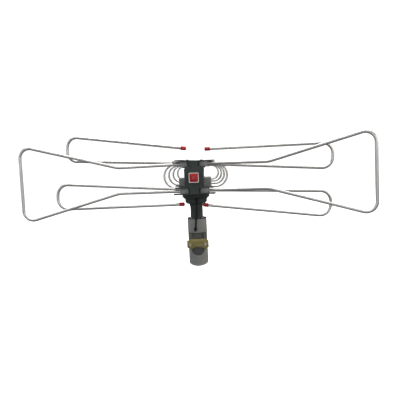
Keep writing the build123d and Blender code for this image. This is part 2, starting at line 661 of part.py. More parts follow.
def bracket_pins():
    pins = []
    for side in (-1, 1):
        for end in (-1, 1):
            low = BLOCK_HEIGHT - PIN_DEPTH
            top = OUTER_PLATE_Z + PLATE
            shank = sorted((end * low, end * top))
            head = sorted((end * top, end * (top + PIN_HEAD)))
            pins.append(cylinder(PIN_R, shank[0], shank[1], side * PIVOT_X, 0)
                        + cylinder(PIN_HEAD_R, head[0], head[1], side * PIVOT_X, 0))
    return group(pins)


FRONT_PLACE = Pos(0, FRONT_BRACKET_Y, BOOM_Z)
REAR_PLACE = Pos(0, REAR_BRACKET_Y, BOOM_Z) * Rot(0, REAR_BRACKET_TURN, 0)


def side_bar(radius, start, end):
    """Round bar along X through a bracket's or carrier's side."""
    return Pos((start + end) / 2, 0, 0) * Rot(0, 90, 0) * Cylinder(radius, end - start)


def screw_shanks():
    """Shanks of the screws into the boom: brackets, ring carriers and amplifier."""
    inside = BOOM_SIDE / 2 - BOOM_WALL
    shanks = [place * side_bar(BOOM_SCREW_R, inside, BLOCK_HALF) for place in (FRONT_PLACE, REAR_PLACE)]
    for y, half_width, half_height in RINGS:
        shanks.append(Pos(0, y, BOOM_Z) * side_bar(BOOM_SCREW_R, inside, CARRIER_SADDLE))
    shanks.append(cylinder(BOOM_SCREW_R, BOOM_LOW - AMP_WALL, BOOM_LOW + BOOM_WALL, 0, AMP_SCREW_Y))
    return shanks


def boom_screws():
    heads = [place * side_bar(BOOM_SCREW_HEAD_R, BLOCK_HALF, BLOCK_HALF + BOOM_SCREW_HEAD)
             for place in (FRONT_PLACE, REAR_PLACE)]
    for y, half_width, half_height in RINGS:
        seat = CARRIER_SADDLE
        heads.append(Pos(0, y, BOOM_Z) * side_bar(BOOM_SCREW_HEAD_R, seat, seat + BOOM_SCREW_HEAD))
    seat = BOOM_LOW - AMP_WALL
    heads.append(cylinder(BOOM_SCREW_HEAD_R, seat - BOOM_SCREW_HEAD, seat, 0, AMP_SCREW_Y))
    return group([shank + head for shank, head in zip(screw_shanks(), heads)])


# ---------------------------------------------------------------- rings

def ring(y, half_width, half_height):
    """Oval ring of round rod whose two ends nearly meet below the boom."""
    points = [
        (RING_GAP / 2, -half_height), (half_width, -half_height), (half_width, half_height),
        (-half_width, half_height), (-half_width, -half_height), (-RING_GAP / 2, -half_height),
    ]
    path_points = [(x, y, BOOM_Z + z) for x, z in points]
    return bent_tube(path_points, [half_height - 0.5] * 4, RING_R)


def ring_carrier(y, half_width, half_height):
    """Post on the boom that holds one ring above and below."""
    y_range = (y - CARRIER_DEPTH / 2, y + CARRIER_DEPTH / 2)
    reach = half_height + RING_R + CARRIER_LIP
    body = block((-CARRIER_HALF, CARRIER_HALF), y_range, (BOOM_Z - reach, BOOM_Z + reach))
    saddle_z = (BOOM_Z - CARRIER_SADDLE, BOOM_Z + CARRIER_SADDLE)
    saddle = block((-CARRIER_SADDLE, CARRIER_SADDLE), y_range, saddle_z)
    body += fillet(saddle.edges().filter_by(Axis.Y), 3.0)
    hole = Plane(origin=(0, y_range[0] - 1, BOOM_Z), x_dir=(1, 0, 0), z_dir=(0, 1, 0))
    body -= extrude(hole * boom_square(BOOM_SIDE, BOOM_CORNER), CARRIER_DEPTH + 2)
    for end in (-1, 1):
        centre = Pos(0, y, BOOM_Z + end * half_height) * Rot(0, 90, 0)
        body -= centre * Cylinder(RING_R, 3 * CARRIER_HALF)
    return body - Pos(0, y, BOOM_Z) * side_bar(BOOM_SCREW_R, 0, CARRIER_SADDLE)


# ---------------------------------------------------------------- folding elements

def element_place(side, place, turn, fold):
    """Place of an element whose local X runs outward from its pin."""
    return place * Pos(side * PIVOT_X, 0, 0) * Rot(0, 0, turn + fold)


def side_place(side, place, fold):
    if side > 0:
        return element_place(side, place, 0, fold)
    return element_place(side, place, 180, -fold)


def lug(z):
    """Hinge lug round a pin, with a socket for the tube's end."""
    half = (OUTER_PLATE_Z - BLOCK_HEIGHT - PLATE) / 2 - 0.35
    middle = math.copysign((OUTER_PLATE_Z + BLOCK_HEIGHT + PLATE) / 2, z)
    body = cylinder(LUG_R, middle - half, middle + half)
    body += block((0, LUG_REACH), (-LUG_R, LUG_R), (middle - half, middle + half))
    body -= cylinder(PIN_R + RUNNING_GAP, middle - half, middle + half)
    socket = Rot(0, 90, 0) * Cylinder(TUBE_R, LUG_REACH - LUG_SOCKET)
    return body - Pos((LUG_SOCKET + LUG_REACH) / 2, 0, z) * socket


def front_loop():
    outline = [
        (LUG_SOCKET, LOOP_PIN_Z), (LUG_REACH + LUG_SOCKET, LOOP_PIN_Z), (LOOP_NECK_X, LOOP_NECK_Z),
        (LOOP_OUTER_X, LOOP_OUTER_Z), (LOOP_OUTER_X, -LOOP_OUTER_Z), (LOOP_NECK_X, -LOOP_NECK_Z),
        (LUG_REACH + LUG_SOCKET, -LOOP_PIN_Z), (LUG_SOCKET, -LOOP_PIN_Z),
    ]
    inward = [LOOP_NECK_BEND, LOOP_NECK_BEND, LOOP_CORNER_BEND]
    radii = inward + inward[::-1]
    return bent_tube([(x, 0, z) for x, z in outline], radii, TUBE_R, TUBE_WALL)


def hairpin(up):
    """Tube with one end in a lug and the other, above or below it, free."""
    outline = [
        (LUG_SOCKET, LOOP_PIN_Z), (LUG_REACH + LUG_SOCKET, LOOP_PIN_Z),
        (HAIRPIN_OUTER_X, LOOP_PIN_Z - HAIRPIN_DROP), (HAIRPIN_OUTER_X, LOOP_PIN_Z + HAIRPIN_RISE),
        (HAIRPIN_FREE_X, LOOP_PIN_Z + HAIRPIN_FREE_Z),
    ]
    radii = [LOOP_NECK_BEND, HAIRPIN_BEND, HAIRPIN_BEND]
    return bent_tube([(x, 0, up * z) for x, z in outline], radii, TUBE_R, TUBE_WALL)


def hairpin_cap(up):
    """Closed cap pushed over the hairpin's free end."""
    slope = (HAIRPIN_RISE - HAIRPIN_FREE_Z) / (HAIRPIN_OUTER_X - HAIRPIN_FREE_X)
    angle = math.degrees(math.atan(slope))
    cap = Cylinder(CAP_R, CAP_LENGTH)
    cap = fillet(cap.edges().sort_by(Axis.Z)[0], 1.2)
    cap -= Pos(0, 0, CAP_END / 2) * Cylinder(TUBE_R, CAP_LENGTH - CAP_END)
    start = Pos(HAIRPIN_FREE_X, 0, up * (LOOP_PIN_Z + HAIRPIN_FREE_Z)) * Rot(0, 90 - up * angle, 0)
    return start * Pos(0, 0, CAP_LENGTH / 2 - CAP_END) * cap


os.makedirs("parts", exist_ok=True)

write("base_housing", base_housing())
write("clamp_bolts", clamp_bolts())
write("clamp_jaw", clamp_jaw())
write("clamp_washers", clamp_washers())
write("clamp_nuts", clamp_nuts())
write("neck_tube", neck_tube())
write("base_screws", base_screws())
write("neck_screws", neck_screws())
write("motor_housing", motor_housing())
write("housing_cover", housing_cover())
write("cover_screws", cover_screws())
write("gear_motor", motor())
write("motor_screws", motor_screws())
write("gear_plate", gear_plate())
write("output_gear", output_gear())
write("motor_pinion", motor_pinion())
write("motor_shaft", cylinder(MOTOR_SHAFT_R, MOTOR_TOP - 7, GEAR_Z + GEAR_WIDTH, 0, CENTRE_DISTANCE))
write("spindle", spindle())
write("spindle_bush", spindle_bush())
write("thrust_washer", thrust_washer())
write("antenna_cable", antenna_cable())
write("cable_boot", cable_boot())
write("cable_grommet", cable_grommet())
write("junction_board", junction_board())
write("turret", turret())
write("amplifier_case", amplifier_case())
write("amplifier_floor", amplifier_floor())
write("amplifier_board", amplifier_board())
write("boom_tube", boom_tube())
write("boom_plug_front", boom_plug(BOOM_FRONT, -1))
write("boom_plug_rear", boom_plug(BOOM_BACK, 1))
write("boom_screws", boom_screws())
write("front_bracket", FRONT_PLACE * bracket(0))
write("rear_bracket", REAR_PLACE * bracket(REAR_BRACKET_TURN))
write("front_pins", group([FRONT_PLACE * bracket_pins()]))
write("rear_pins", group([REAR_PLACE * bracket_pins()]))
for number, sizes in enumerate(RINGS, start=1):
    write(f"uhf_ring_{number}", ring(*sizes))
    write(f"ring_carrier_{number}", ring_carrier(*sizes))
for name, fold in LOOP_FOLDS.items():
    place = side_place(-1 if name == "left" else 1, FRONT_PLACE, fold)
    write(f"front_loop_{name}", place * front_loop())
    write(f"front_lugs_{name}", group([place * lug(LOOP_PIN_Z), place * lug(-LOOP_PIN_Z)]))
for name, fold in HAIRPIN_FOLDS.items():
    up = 1 if name.startswith("upper") else -1
    place = side_place(-1 if name.endswith("left") else 1, REAR_PLACE, fold)
    write(f"hairpin_{name}", place * hairpin(up))
    write(f"hairpin_lug_{name}", place * lug(up * LOOP_PIN_Z))
    write(f"hairpin_cap_{name}", place * hairpin_cap(up))
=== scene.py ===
import json
import math

import bpy
from mathutils import Matrix, Quaternion, Vector


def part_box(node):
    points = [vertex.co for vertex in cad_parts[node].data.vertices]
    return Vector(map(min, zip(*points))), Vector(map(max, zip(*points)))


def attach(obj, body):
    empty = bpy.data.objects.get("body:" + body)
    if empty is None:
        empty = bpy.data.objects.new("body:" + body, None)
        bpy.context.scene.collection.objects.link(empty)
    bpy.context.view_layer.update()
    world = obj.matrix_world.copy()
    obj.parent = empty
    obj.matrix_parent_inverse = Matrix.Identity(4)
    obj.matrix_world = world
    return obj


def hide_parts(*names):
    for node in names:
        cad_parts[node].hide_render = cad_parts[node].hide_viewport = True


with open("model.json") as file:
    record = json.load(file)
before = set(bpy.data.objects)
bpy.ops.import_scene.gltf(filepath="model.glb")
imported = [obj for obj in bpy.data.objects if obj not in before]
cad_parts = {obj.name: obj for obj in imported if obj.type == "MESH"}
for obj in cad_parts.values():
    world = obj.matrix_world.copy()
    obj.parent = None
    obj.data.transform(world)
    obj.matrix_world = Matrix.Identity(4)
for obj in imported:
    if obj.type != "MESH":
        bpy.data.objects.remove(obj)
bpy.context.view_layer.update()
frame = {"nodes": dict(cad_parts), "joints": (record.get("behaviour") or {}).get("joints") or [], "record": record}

bl_info = {
    "name": "Rotating Television Antenna",
    "version": (1, 0, 0),
    "blender": (4, 5, 0),
    "location": "3D View > Sidebar > Antenna",
    "description": "Models and finishes a motor-turned television antenna round its CAD frame",
    "category": "Add Mesh",
}

MM = 0.001
FRAME_NODES = frame["nodes"]
JOINTS = {joint["name"]: joint for joint in frame["joints"]}
BODY_OF = {node: body for body, nodes in frame["record"]["behaviour"]["bodies"].items() for node in nodes}
SLOT_OF = {part["node"]: part["material_slot"] for part in frame["record"]["subparts"]}
SLOT_COLOUR = {entry["slot"]: entry["base_color"] for entry in frame["record"]["materials"]}
SIDES = ("left", "right")
CORNERS = ("upper_left", "upper_right", "lower_left", "lower_right")


# ---------------------------------------------------------------- sizes and colours

def length(name, description, default, **options):
    """Size property in metres, its default given in millimetres."""
    return bpy.props.FloatProperty(name=name, description=description, default=default * MM, unit="LENGTH",
                                   subtype="DISTANCE", precision=5, **options)


def tint(name, description, default):
    """Colour property."""
    return bpy.props.FloatVectorProperty(name=name, description=description, default=default, size=3,
                                         min=0.0, max=1.0, subtype="COLOR")


def count(name, description, default):
    """Whole number property."""
    return bpy.props.IntProperty(name=name, description=description, default=default, min=1)


def angle(name, description, default):
    """Angle property."""
    return bpy.props.FloatProperty(name=name, description=description, default=default, subtype="ANGLE",
                                   unit="ROTATION")


def slot_tint(name, description, slot):
    """Colour property that starts from a material slot's colour."""
    return tint(name, description, SLOT_COLOUR[slot])


class ANTENNA_PG_elements(bpy.types.PropertyGroup):
    """Sizes of the bent tubes that fold out from the brackets"""
    tube_radius: length("Tube radius", "Outer radius of the loop and hairpin tubes", 4.0)
    tube_sides: count("Tube sides", "Flat sides round a tube", 28)
    socket_x: length("Socket", "From the pin to the tube's end in its lug", 9.0)
    straight_x: length("Straight end", "From the pin to the end of the tube's first straight", 26.0)
    end_z: length("End height", "Height of the tube ends above and below the boom's axis", 34.5)
    loop_neck_x: length("Loop neck", "From the pin to the loop's neck", 174.0)
    loop_neck_z: length("Loop neck height", "Half height of the loop at its neck", 33.0)
    loop_outer_x: length("Loop end", "From the pin to the loop's outer tube", 424.7)
    loop_outer_z: length("Loop half height", "Half height of the loop's outer corners", 100.0)
    neck_bend: length("Neck bend", "Bend radius at the necks", 60.0)
    corner_bend: length("Corner bend", "Bend radius at the loop's outer corners", 24.5)
    hairpin_outer_x: length("Hairpin end", "From the pin to the hairpin's outer bend", 352.0)
    hairpin_drop: length("Hairpin drop", "Fall of the held limb towards its outer bend", 3.6)
    hairpin_rise: length("Hairpin rise", "Height of the free limb at the outer bend", 65.5)
    hairpin_free_z: length("Free end height", "Height of the hairpin's free end over the held end", 39.5)
    hairpin_free_x: length("Free end", "From the pin's plane to the hairpin's free end", 6.0)
    hairpin_bend: length("Hairpin bend", "Bend radius at the hairpin's outer end", 29.0)
    cap_radius: length("Cap radius", "Outer radius of the caps on the free ends", 5.2)
    cap_length: length("Cap length", "Length of the caps on the free ends", 14.0)
    cap_end: length("Cap end", "Thickness of a cap's closed end", 2.0)


class ANTENNA_PG_rings(bpy.types.PropertyGroup):
    """Sizes of the oval rings along the boom"""
    rod_radius: length("Rod radius", "Radius of the ring rod", 3.0)
    rod_sides: count("Rod sides", "Flat sides round the rod", 24)
    gap: length("Gap", "Gap between the rod's two ends under the boom", 1.0)
    bend_short: length("Bend allowance", "How much smaller the bend radius is than the half height", 0.5)


class ANTENNA_PG_cable(bpy.types.PropertyGroup):
    """Sizes of the coaxial cable and its strain relief"""
    radius: length("Cable radius", "Outer radius of the cable's sheath", 2.4)
    boot_length: length("Boot length", "Length of the tapered strain relief", 24.0)
    boot_foot: length("Boot foot radius", "Radius of the strain relief at the port", 4.9)
    boot_tip: length("Boot tip radius", "Radius of the strain relief at its thin end", 2.75)
    boot_ribs: count("Boot ribs", "Raised ribs along the strain relief", 7)


class ANTENNA_PG_fasteners(bpy.types.PropertyGroup):
    """Sizes of bolts, nuts, screws and pins"""
    bolt_radius: length("Bolt radius", "Radius of the clamp bolts over their thread", 2.5)
    bolt_pitch: length("Thread pitch", "Pitch of the clamp bolts' thread", 0.8)
    head_flats: length("Bolt head flats", "Distance across the bolt head's flats", 9.4)
    nut_flats: length("Nut flats", "Distance across the nut's flats", 9.0)
    left_turn: angle("Left turn", "How far the left nut and bolt are turned", 0.2)
    right_turn: angle("Right turn", "How far the right nut and bolt are turned", 0.75)
    edge: length("Eased edge", "Width of the eased edges on moulded parts", 0.55)
    pressed_edge: length("Pressed edge", "Width of the rolled edges on pressed sheet", 0.45)


class ANTENNA_PG_colours(bpy.types.PropertyGroup):
    """Base colours of the finishes"""
    base: slot_tint("Mast base", "Grey plastic of the mast base", "base_plastic")
    dark: slot_tint("Head", "Charcoal plastic of the head, neck and housing", "dark_plastic")
    elements: slot_tint("Elements", "Drawn aluminium of the loops, hairpins and rings", "element_aluminium")
    boom: slot_tint("Boom", "Extruded aluminium of the boom", "boom_aluminium")
    red: slot_tint("Caps", "Red plastic of the caps and boom plugs", "red_plastic")
    zinc: slot_tint("Clamp jaw", "Yellow-passivated zinc of the clamp jaw", "yellow_zinc")
    steel: slot_tint("Fasteners", "Bright zinc-plated steel", "bright_steel")
    rivet: slot_tint("Pins", "Blackened steel of the hinge pins", "rivet_steel")
    lug: slot_tint("Lugs", "Light plastic of the hinge lugs", "lug_plastic")
    nylon: slot_tint("Gears", "Natural nylon of the gears and bush", "gear_nylon")
    rubber: slot_tint("Cable", "Black sheath of the cable", "cable_rubber")
    board: slot_tint("Boards", "Green lacquer of the circuit boards", "circuit_board")


class ANTENNA_PG_stage(bpy.types.PropertyGroup):
    """Camera, floor and lamps"""
    camera: bpy.props.FloatVectorProperty(name="Camera", description="Camera position", size=3,
                                          default=(0.048, -1.363, 0.2945), subtype="TRANSLATION",
                                          unit="LENGTH")
    aim_yaw: angle("Yaw", "Camera turn to the right of the boom's direction", -0.0275)
    aim_pitch: angle("Pitch", "Camera tilt above the horizon", -0.0858)
    roll: angle("Roll", "Camera roll about its line of sight", -0.046)
    lens: bpy.props.FloatProperty(name="Lens", description="Focal length in millimetres on a 36 mm sensor",
                                  default=45.0, min=1.0)
    cove_radius: length("Cove radius", "Radius of the floor and its backdrop", 4000.0)
    floor_colour: tint("Floor", "Pale floor and backdrop", (0.9, 0.9, 0.9))


# ---------------------------------------------------------------- shaping in edit mode

def edit(select="EDGE"):
    """Into edit mode on the active piece, with everything on it selected."""
    bpy.ops.object.mode_set(mode="EDIT")
    bpy.ops.mesh.select_mode(type=select)
    bpy.ops.mesh.select_all(action="SELECT")


def leave_edit():
    bpy.ops.object.mode_set(mode="OBJECT")


def begin(name, add, **options):
    """Add one primitive by itself, its place in its mesh."""
    bpy.ops.object.select_all(action="DESELECT")
    add(**options)
    piece = bpy.context.object
    piece.name = piece.data.name = name
    bpy.ops.object.transform_apply(location=True, rotation=True, scale=True)
    return piece


def make_active(piece):
    """The only selected object, and the active one."""
    bpy.ops.object.select_all(action="DESELECT")
    piece.select_set(True)
    bpy.context.view_layer.objects.active = piece


def pick_vertices(piece, test):
    """Select the vertices whose place passes a test, from object mode."""
    for part in (piece.data.polygons, piece.data.edges):
        part.foreach_set("select", [False] * len(part))
    for vertex in piece.data.vertices:
        vertex.select = test(vertex.co)


def close_ring(piece, test):
    """Face over the open ring whose vertices pass a test."""
    pick_vertices(piece, test)
    bpy.ops.object.mode_set(mode="EDIT")
    bpy.ops.mesh.select_mode(type="VERT")
    bpy.ops.mesh.edge_face_add()
    leave_edit()


def tidy_shell(piece, angle=35.0, gap=0.01):
    """Merge doubles, turn every face outward and shade smoothly between the real edges."""
    make_active(piece)
    edit("VERT")
    bpy.ops.mesh.remove_doubles(threshold=gap * MM)
    bpy.ops.mesh.normals_make_consistent(inside=False)
    leave_edit()
    bpy.ops.object.shade_smooth_by_angle(angle=math.radians(angle))
    return piece


def place(piece, matrix):
    """Move a shaped piece by moving its mesh."""
    piece.data.transform(matrix)
    piece.data.update()
    return piece


def modify(piece, kind, **settings):
    """Add one modifier, set it and apply it."""
    make_active(piece)
    bpy.ops.object.modifier_add(type=kind)
    modifier = piece.modifiers[-1]
    for name, value in settings.items():
        setattr(modifier, name, value)
    bpy.ops.object.modifier_apply(modifier=modifier.name)
    return piece


def carve(piece, tool, operation):
    """Cut a piece by another, which is used up."""
    modify(piece, "BOOLEAN", object=tool, operation=operation, solver="EXACT")
    bpy.data.objects.remove(tool)
    return piece


def copy_of(piece, name, matrix):
    """Copy with its own mesh, moved by a matrix."""
    twin = bpy.data.objects.new(name, piece.data.copy())
    twin.data.name = name
    bpy.context.scene.collection.objects.link(twin)
    return place(twin, matrix)


def join(pieces, name):
    """Several pieces as one."""
    bpy.ops.object.select_all(action="DESELECT")
    for piece in pieces:
        piece.select_set(True)
    bpy.context.view_layer.objects.active = pieces[0]
    bpy.ops.object.join()
    pieces[0].name = pieces[0].data.name = name
    return pieces[0]


def raised(piece, profile):
    """Carry an open outline at the first (size, height) up through the rest, and close both ends."""
    size, height = profile[0]
    loop_back = profile[0] == profile[-1]
    edit("EDGE")
    for next_size, next_height in profile[1:]:
        bpy.ops.mesh.extrude_region_move(TRANSFORM_OT_translate={"value": (0, 0, next_height - height)})
        ratio = next_size / size
        bpy.ops.transform.resize(value=(ratio, ratio, 1), center_override=(0, 0, next_height))
        size, height = next_size, next_height
    if not loop_back:
        bpy.ops.mesh.edge_face_add()
        leave_edit()
        outline = len(piece.data.vertices) // len(profile)
        first = {tuple(vertex.co) for vertex in piece.data.vertices[:outline]}
        close_ring(piece, lambda co: tuple(co) in first)
    else:
        leave_edit()
    return tidy_shell(piece)


def turned(name, profile, sides=32):
    """Round piece about +Z from (radius, height) pairs. A profile that ends where it starts is a ring."""
    radius, height = profile[0]
    piece = begin(name, bpy.ops.mesh.primitive_circle_add, vertices=sides, radius=radius,
                  location=(0, 0, height))
    return raised(piece, profile)


def tube_along(name, points, bends, radius, sides):
    """Round tube: a circle carried along each straight run and spun round each corner."""
    points = [Vector(point) for point in points]
    way = (points[1] - points[0]).normalized()
    piece = begin(name, bpy.ops.mesh.primitive_circle_add, vertices=sides, radius=radius, location=points[0],
                  rotation=way.to_track_quat("Z", "Y").to_euler())
    edit("EDGE")
    here = points[0]
    for before, corner, after, bend in zip(points, points[1:], points[2:], bends):
        into, out = (corner - before).normalized(), (after - corner).normalized()
        turn = into.angle(out)
        cut_back = bend * math.tan(turn / 2)
        stop = corner - into * cut_back
        bpy.ops.mesh.extrude_region_move(TRANSFORM_OT_translate={"value": stop - here})
        axis = into.cross(out).normalized()
        steps = max(4, round(math.degrees(turn) / 6))
        # without a window the spin runs backwards, so the angle is given negative
        bpy.ops.mesh.spin(steps=steps, angle=-turn, center=stop + axis.cross(into) * bend, axis=axis)
        here = corner + out * cut_back
    bpy.ops.mesh.extrude_region_move(TRANSFORM_OT_translate={"value": points[-1] - here})
    bpy.ops.mesh.edge_face_add()
    leave_edit()
    mark_way_along(piece, sides)
    close_ring(piece, lambda co: (co - points[0]).length < radius * 1.01)
    return tidy_shell(piece, 40.0)


def mark_way_along(piece, sides):
    """Store where each vertex lies round its tube, in x and y, and how far along it, in z."""
    vertices = piece.data.vertices
    centres = [sum((vertices[ring + step].co for step in range(sides)), Vector()) / sides
               for ring in range(0, len(vertices), sides)]
    along = [0.0]
    for first, second in zip(centres, centres[1:]):
        along.append(along[-1] + (second - first).length)
    store = piece.data.attributes.new("way_along", "FLOAT_VECTOR", "POINT")
    for index in range(len(vertices)):
        angle = 2 * math.pi * (index % sides) / sides
        radius = (vertices[index].co - centres[index // sides]).length
        store.data[index].vector = (radius * math.cos(angle), radius * math.sin(angle), along[index // sides])


def softened(node, width, segments=2, sharpest=32.0):
    """Copy of a CAD node's shape with its sharp edges rounded over."""
    source = FRAME_NODES[node]
    piece = bpy.data.objects.new(node + "_shell", source.data.copy())
    piece.data.name = piece.name
    bpy.context.scene.collection.objects.link(piece)
    make_active(piece)
    bpy.ops.mesh.customdata_custom_splitnormals_clear()
    edit("VERT")
    bpy.ops.mesh.remove_doubles(threshold=0.004 * MM)
    bpy.ops.mesh.normals_make_consistent(inside=False)
    bpy.ops.mesh.dissolve_limited(angle_limit=math.radians(0.4))
    leave_edit()
    modify(piece, "BEVEL", width=width, segments=segments, limit_method="ANGLE",
           angle_limit=math.radians(sharpest), use_clamp_overlap=True, harden_normals=False,
           miter_outer="MITER_ARC")
    bpy.ops.object.shade_smooth_by_angle(angle=math.radians(30))
    return piece


# ---------------------------------------------------------------- finishes

class Finish:
    """A material in the making: its shader, and the nodes that feed it."""

    def __init__(self, name, colour, roughness, metallic=0.0, **fixed):
        self.material = bpy.data.materials.new(name)
        self.material.use_nodes = True
        self.material.diffuse_color = (*colour, 1)
        self.tree = self.material.node_tree
        self.shader = self.tree.nodes["Principled BSDF"]
        self.set(self.shader, {"Base Color": (*colour, 1), "Roughness": roughness, "Metallic": metallic,
                               **fixed})
        self.places = {}

    def set(self, node, inputs):
        for name, value in inputs.items():
            socket = node.inputs[name]
            if isinstance(value, bpy.types.NodeSocket):
                self.tree.links.new(value, socket)
            else:
                socket.default_value = value
        return node

    def add(self, kind, inputs=None, **settings):
        node = self.tree.nodes.new(kind)
        for name, value in settings.items():
            setattr(node, name, value)
        return self.set(node, inputs or {})

    def where(self, stretch=(1, 1, 1), along=False):
        """Coordinates over the piece, or along a tube, stretched by an amount per axis."""
        key = (stretch, along)
        if key not in self.places:
            if along:
                source = self.add("ShaderNodeAttribute", attribute_name="way_along").outputs["Vector"]
            else:
                source = self.add("ShaderNodeTexCoord").outputs["Object"]
            mapping = self.add("ShaderNodeMapping", {"Vector": source, "Scale": stretch})
            self.places[key] = mapping.outputs["Vector"]
        return self.places[key]

    def noise(self, size, detail=3.0, roughness=0.5, stretch=(1, 1, 1), along=False):
        """Soft noise whose features are about this size, in millimetres."""
        node = self.add("ShaderNodeTexNoise", {
            "Vector": self.where(stretch, along), "Scale": 1 / (size * MM), "Detail": detail,
            "Roughness": roughness})
        return node.outputs["Fac"]

    def cells(self, size, feature="F1", output="Distance"):
        """Cell pattern of this cell size, in millimetres."""
        node = self.add("ShaderNodeTexVoronoi", {"Vector": self.where(), "Scale": 1 / (size * MM)},
                        feature=feature)
        return node.outputs[output]

    def ramp(self, value, *stops):
        """Value through (position, grey or colour) stops."""
        node = self.add("ShaderNodeValToRGB", {"Fac": value})
        points = node.color_ramp.elements
        while len(points) < len(stops):
            points.new(0.5)
        for point, (position, shade) in zip(points, stops):
            point.position = position
            point.color = (*shade, 1) if hasattr(shade, "__len__") else (shade, shade, shade, 1)
        return node.outputs["Color"]

    def mix(self, amount, first, second, blend="MIX"):
        """Blend of two colours."""
        node = self.add("ShaderNodeMix", data_type="RGBA", blend_type=blend)
        for socket, value in ((node.inputs[0], amount), (node.inputs[6], first), (node.inputs[7], second)):
            if isinstance(value, bpy.types.NodeSocket):
                self.tree.links.new(value, socket)
            elif hasattr(value, "__len__"):
                socket.default_value = (*value, 1)
            else:
                socket.default_value = value
        return node.outputs[2]

    def math(self, operation, first, second=0.0):
        node = self.add("ShaderNodeMath", {0: first, 1: second}, operation=operation)
        return node.outputs[0]

    def between(self, value, low, high):
        """Value from 0 to 1 carried to a range."""
        node = self.add("ShaderNodeMapRange", {"Value": value, "To Min": low, "To Max": high})
        return node.outputs["Result"]

    def edge(self, low, high):
        """1 on worn outer edges, 0 on flats."""
        pointiness = self.add("ShaderNodeNewGeometry").outputs["Pointiness"]
        return self.ramp(pointiness, (low, 0.0), (high, 1.0))

    def bump(self, height, depth, strength=1.0, under=None):
        """Relief of this depth in millimetres."""
        inputs = {"Height": height, "Distance": depth * MM, "Strength": strength}
        if under is not None:
            inputs["Normal"] = under
        return self.add("ShaderNodeBump", inputs).outputs["Normal"]

    def done(self, **inputs):
        self.set(self.shader, {name.replace("_", " "): value for name, value in inputs.items()})
        return self.material


def scaled(colour, factor):
    """Colour made lighter or darker."""
    return tuple(min(1.0, max(0.0, channel * factor)) for channel in colour)


def toned(colour, red, green, blue):
    """Colour with its channels shifted."""
    return tuple(min(1.0, max(0.0, channel + shift)) for channel, shift in zip(colour, (red, green, blue)))


def clouded(finish, clouds, colour, dark, light, stops=(0.3, 0.55, 0.8)):
    """Tone that drifts from dark through the base colour to light."""
    return finish.ramp(clouds, *zip(stops, (dark, colour, light)))


def moulded_grey(colour):
    """Mast base plastic: spark-eroded grain, flow clouds, rubbed edges and a little weather dirt."""
    finish = Finish("base_plastic", colour, 0.55)
    clouds = finish.noise(22, 4, 0.55, (1, 1, 0.6))
    light = toned(colour, 0.03, 0.02, -0.005)
    tone = clouded(finish, clouds, colour, scaled(colour, 0.86), light, (0.3, 0.55, 0.75))
    dirt = finish.ramp(finish.noise(6, 6, 0.65, (1, 1, 0.3)), (0.56, 0.0), (0.8, 0.5))
    tone = finish.mix(dirt, tone, scaled(colour, 0.5))
    tone = finish.mix(finish.edge(0.52, 0.6), tone, scaled(colour, 1.55))
    grain = finish.noise(0.45, 2, 0.6)
    relief = finish.bump(grain, 0.06, 0.6, finish.bump(finish.noise(9, 2), 0.25, 0.35))
    return finish.done(Base_Color=tone, Roughness=finish.between(clouds, 0.42, 0.66), Normal=relief)


def moulded_charcoal(colour):
    """Head plastic: charcoal with a green cast, fine grain, worn edges and pale handling marks."""
    finish = Finish("dark_plastic", colour, 0.5)
    clouds = finish.noise(18, 4, 0.55)
    light = toned(scaled(colour, 1.35), 0, 0.008, 0.006)
    tone = clouded(finish, clouds, colour, scaled(colour, 0.72), light, (0.3, 0.52, 0.74))
    marks = finish.ramp(finish.noise(3.2, 5, 0.7, (1, 1, 0.5)), (0.58, 0.0), (0.82, 0.35))
    tone = finish.mix(marks, tone, scaled(colour, 2.3))
    tone = finish.mix(finish.edge(0.52, 0.61), tone, scaled(colour, 2.8))
    grain = finish.noise(0.4, 2, 0.6)
    relief = finish.bump(grain, 0.06, 0.55, finish.bump(finish.noise(8, 2), 0.2, 0.3))
    return finish.done(Base_Color=tone, Roughness=finish.between(clouds, 0.36, 0.6), Normal=relief)


def drawn_aluminium(colour):
    """Bright drawn tube: fine die lines along it, faint oxide bloom and handling dulling."""
    finish = Finish("element_aluminium", colour, 0.24, 1.0)
    lines = finish.noise(0.5, 3, 0.6, (1, 1, 0.012), along=True)
    bloom = finish.noise(24, 5, 0.6, (1, 1, 0.5), along=True)
    tone = finish.mix(finish.ramp(lines, (0.35, 0.0), (0.7, 0.5)), colour, scaled(colour, 0.82))
    dull = toned(scaled(colour, 0.86), 0.0, 0.005, 0.012)
    tone = finish.mix(finish.ramp(bloom, (0.5, 0.0), (0.78, 0.45)), tone, dull)
    rough = finish.math("ADD", finish.between(bloom, 0.12, 0.3), finish.between(lines, 0.0, 0.08))
    relief = finish.bump(lines, 0.02, 0.5, finish.bump(finish.noise(3, 2, along=True), 0.02, 0.3))
    return finish.done(Base_Color=tone, Roughness=rough, Normal=relief)


def extruded_aluminium(colour):
    """Boom profile: die lines along it and dull mill finish."""
    finish = Finish("boom_aluminium", colour, 0.34, 1.0)
    lines = finish.noise(0.6, 3, 0.6, (1, 0.008, 1))
    bloom = finish.noise(20, 5, 0.6, (1, 0.4, 1))
    tone = finish.mix(finish.ramp(lines, (0.35, 0.0), (0.72, 0.6)), colour, scaled(colour, 0.78))
    rough = finish.math("ADD", finish.between(bloom, 0.2, 0.4), finish.between(lines, 0.0, 0.1))
    return finish.done(Base_Color=tone, Roughness=rough, Normal=finish.bump(lines, 0.03, 0.5))


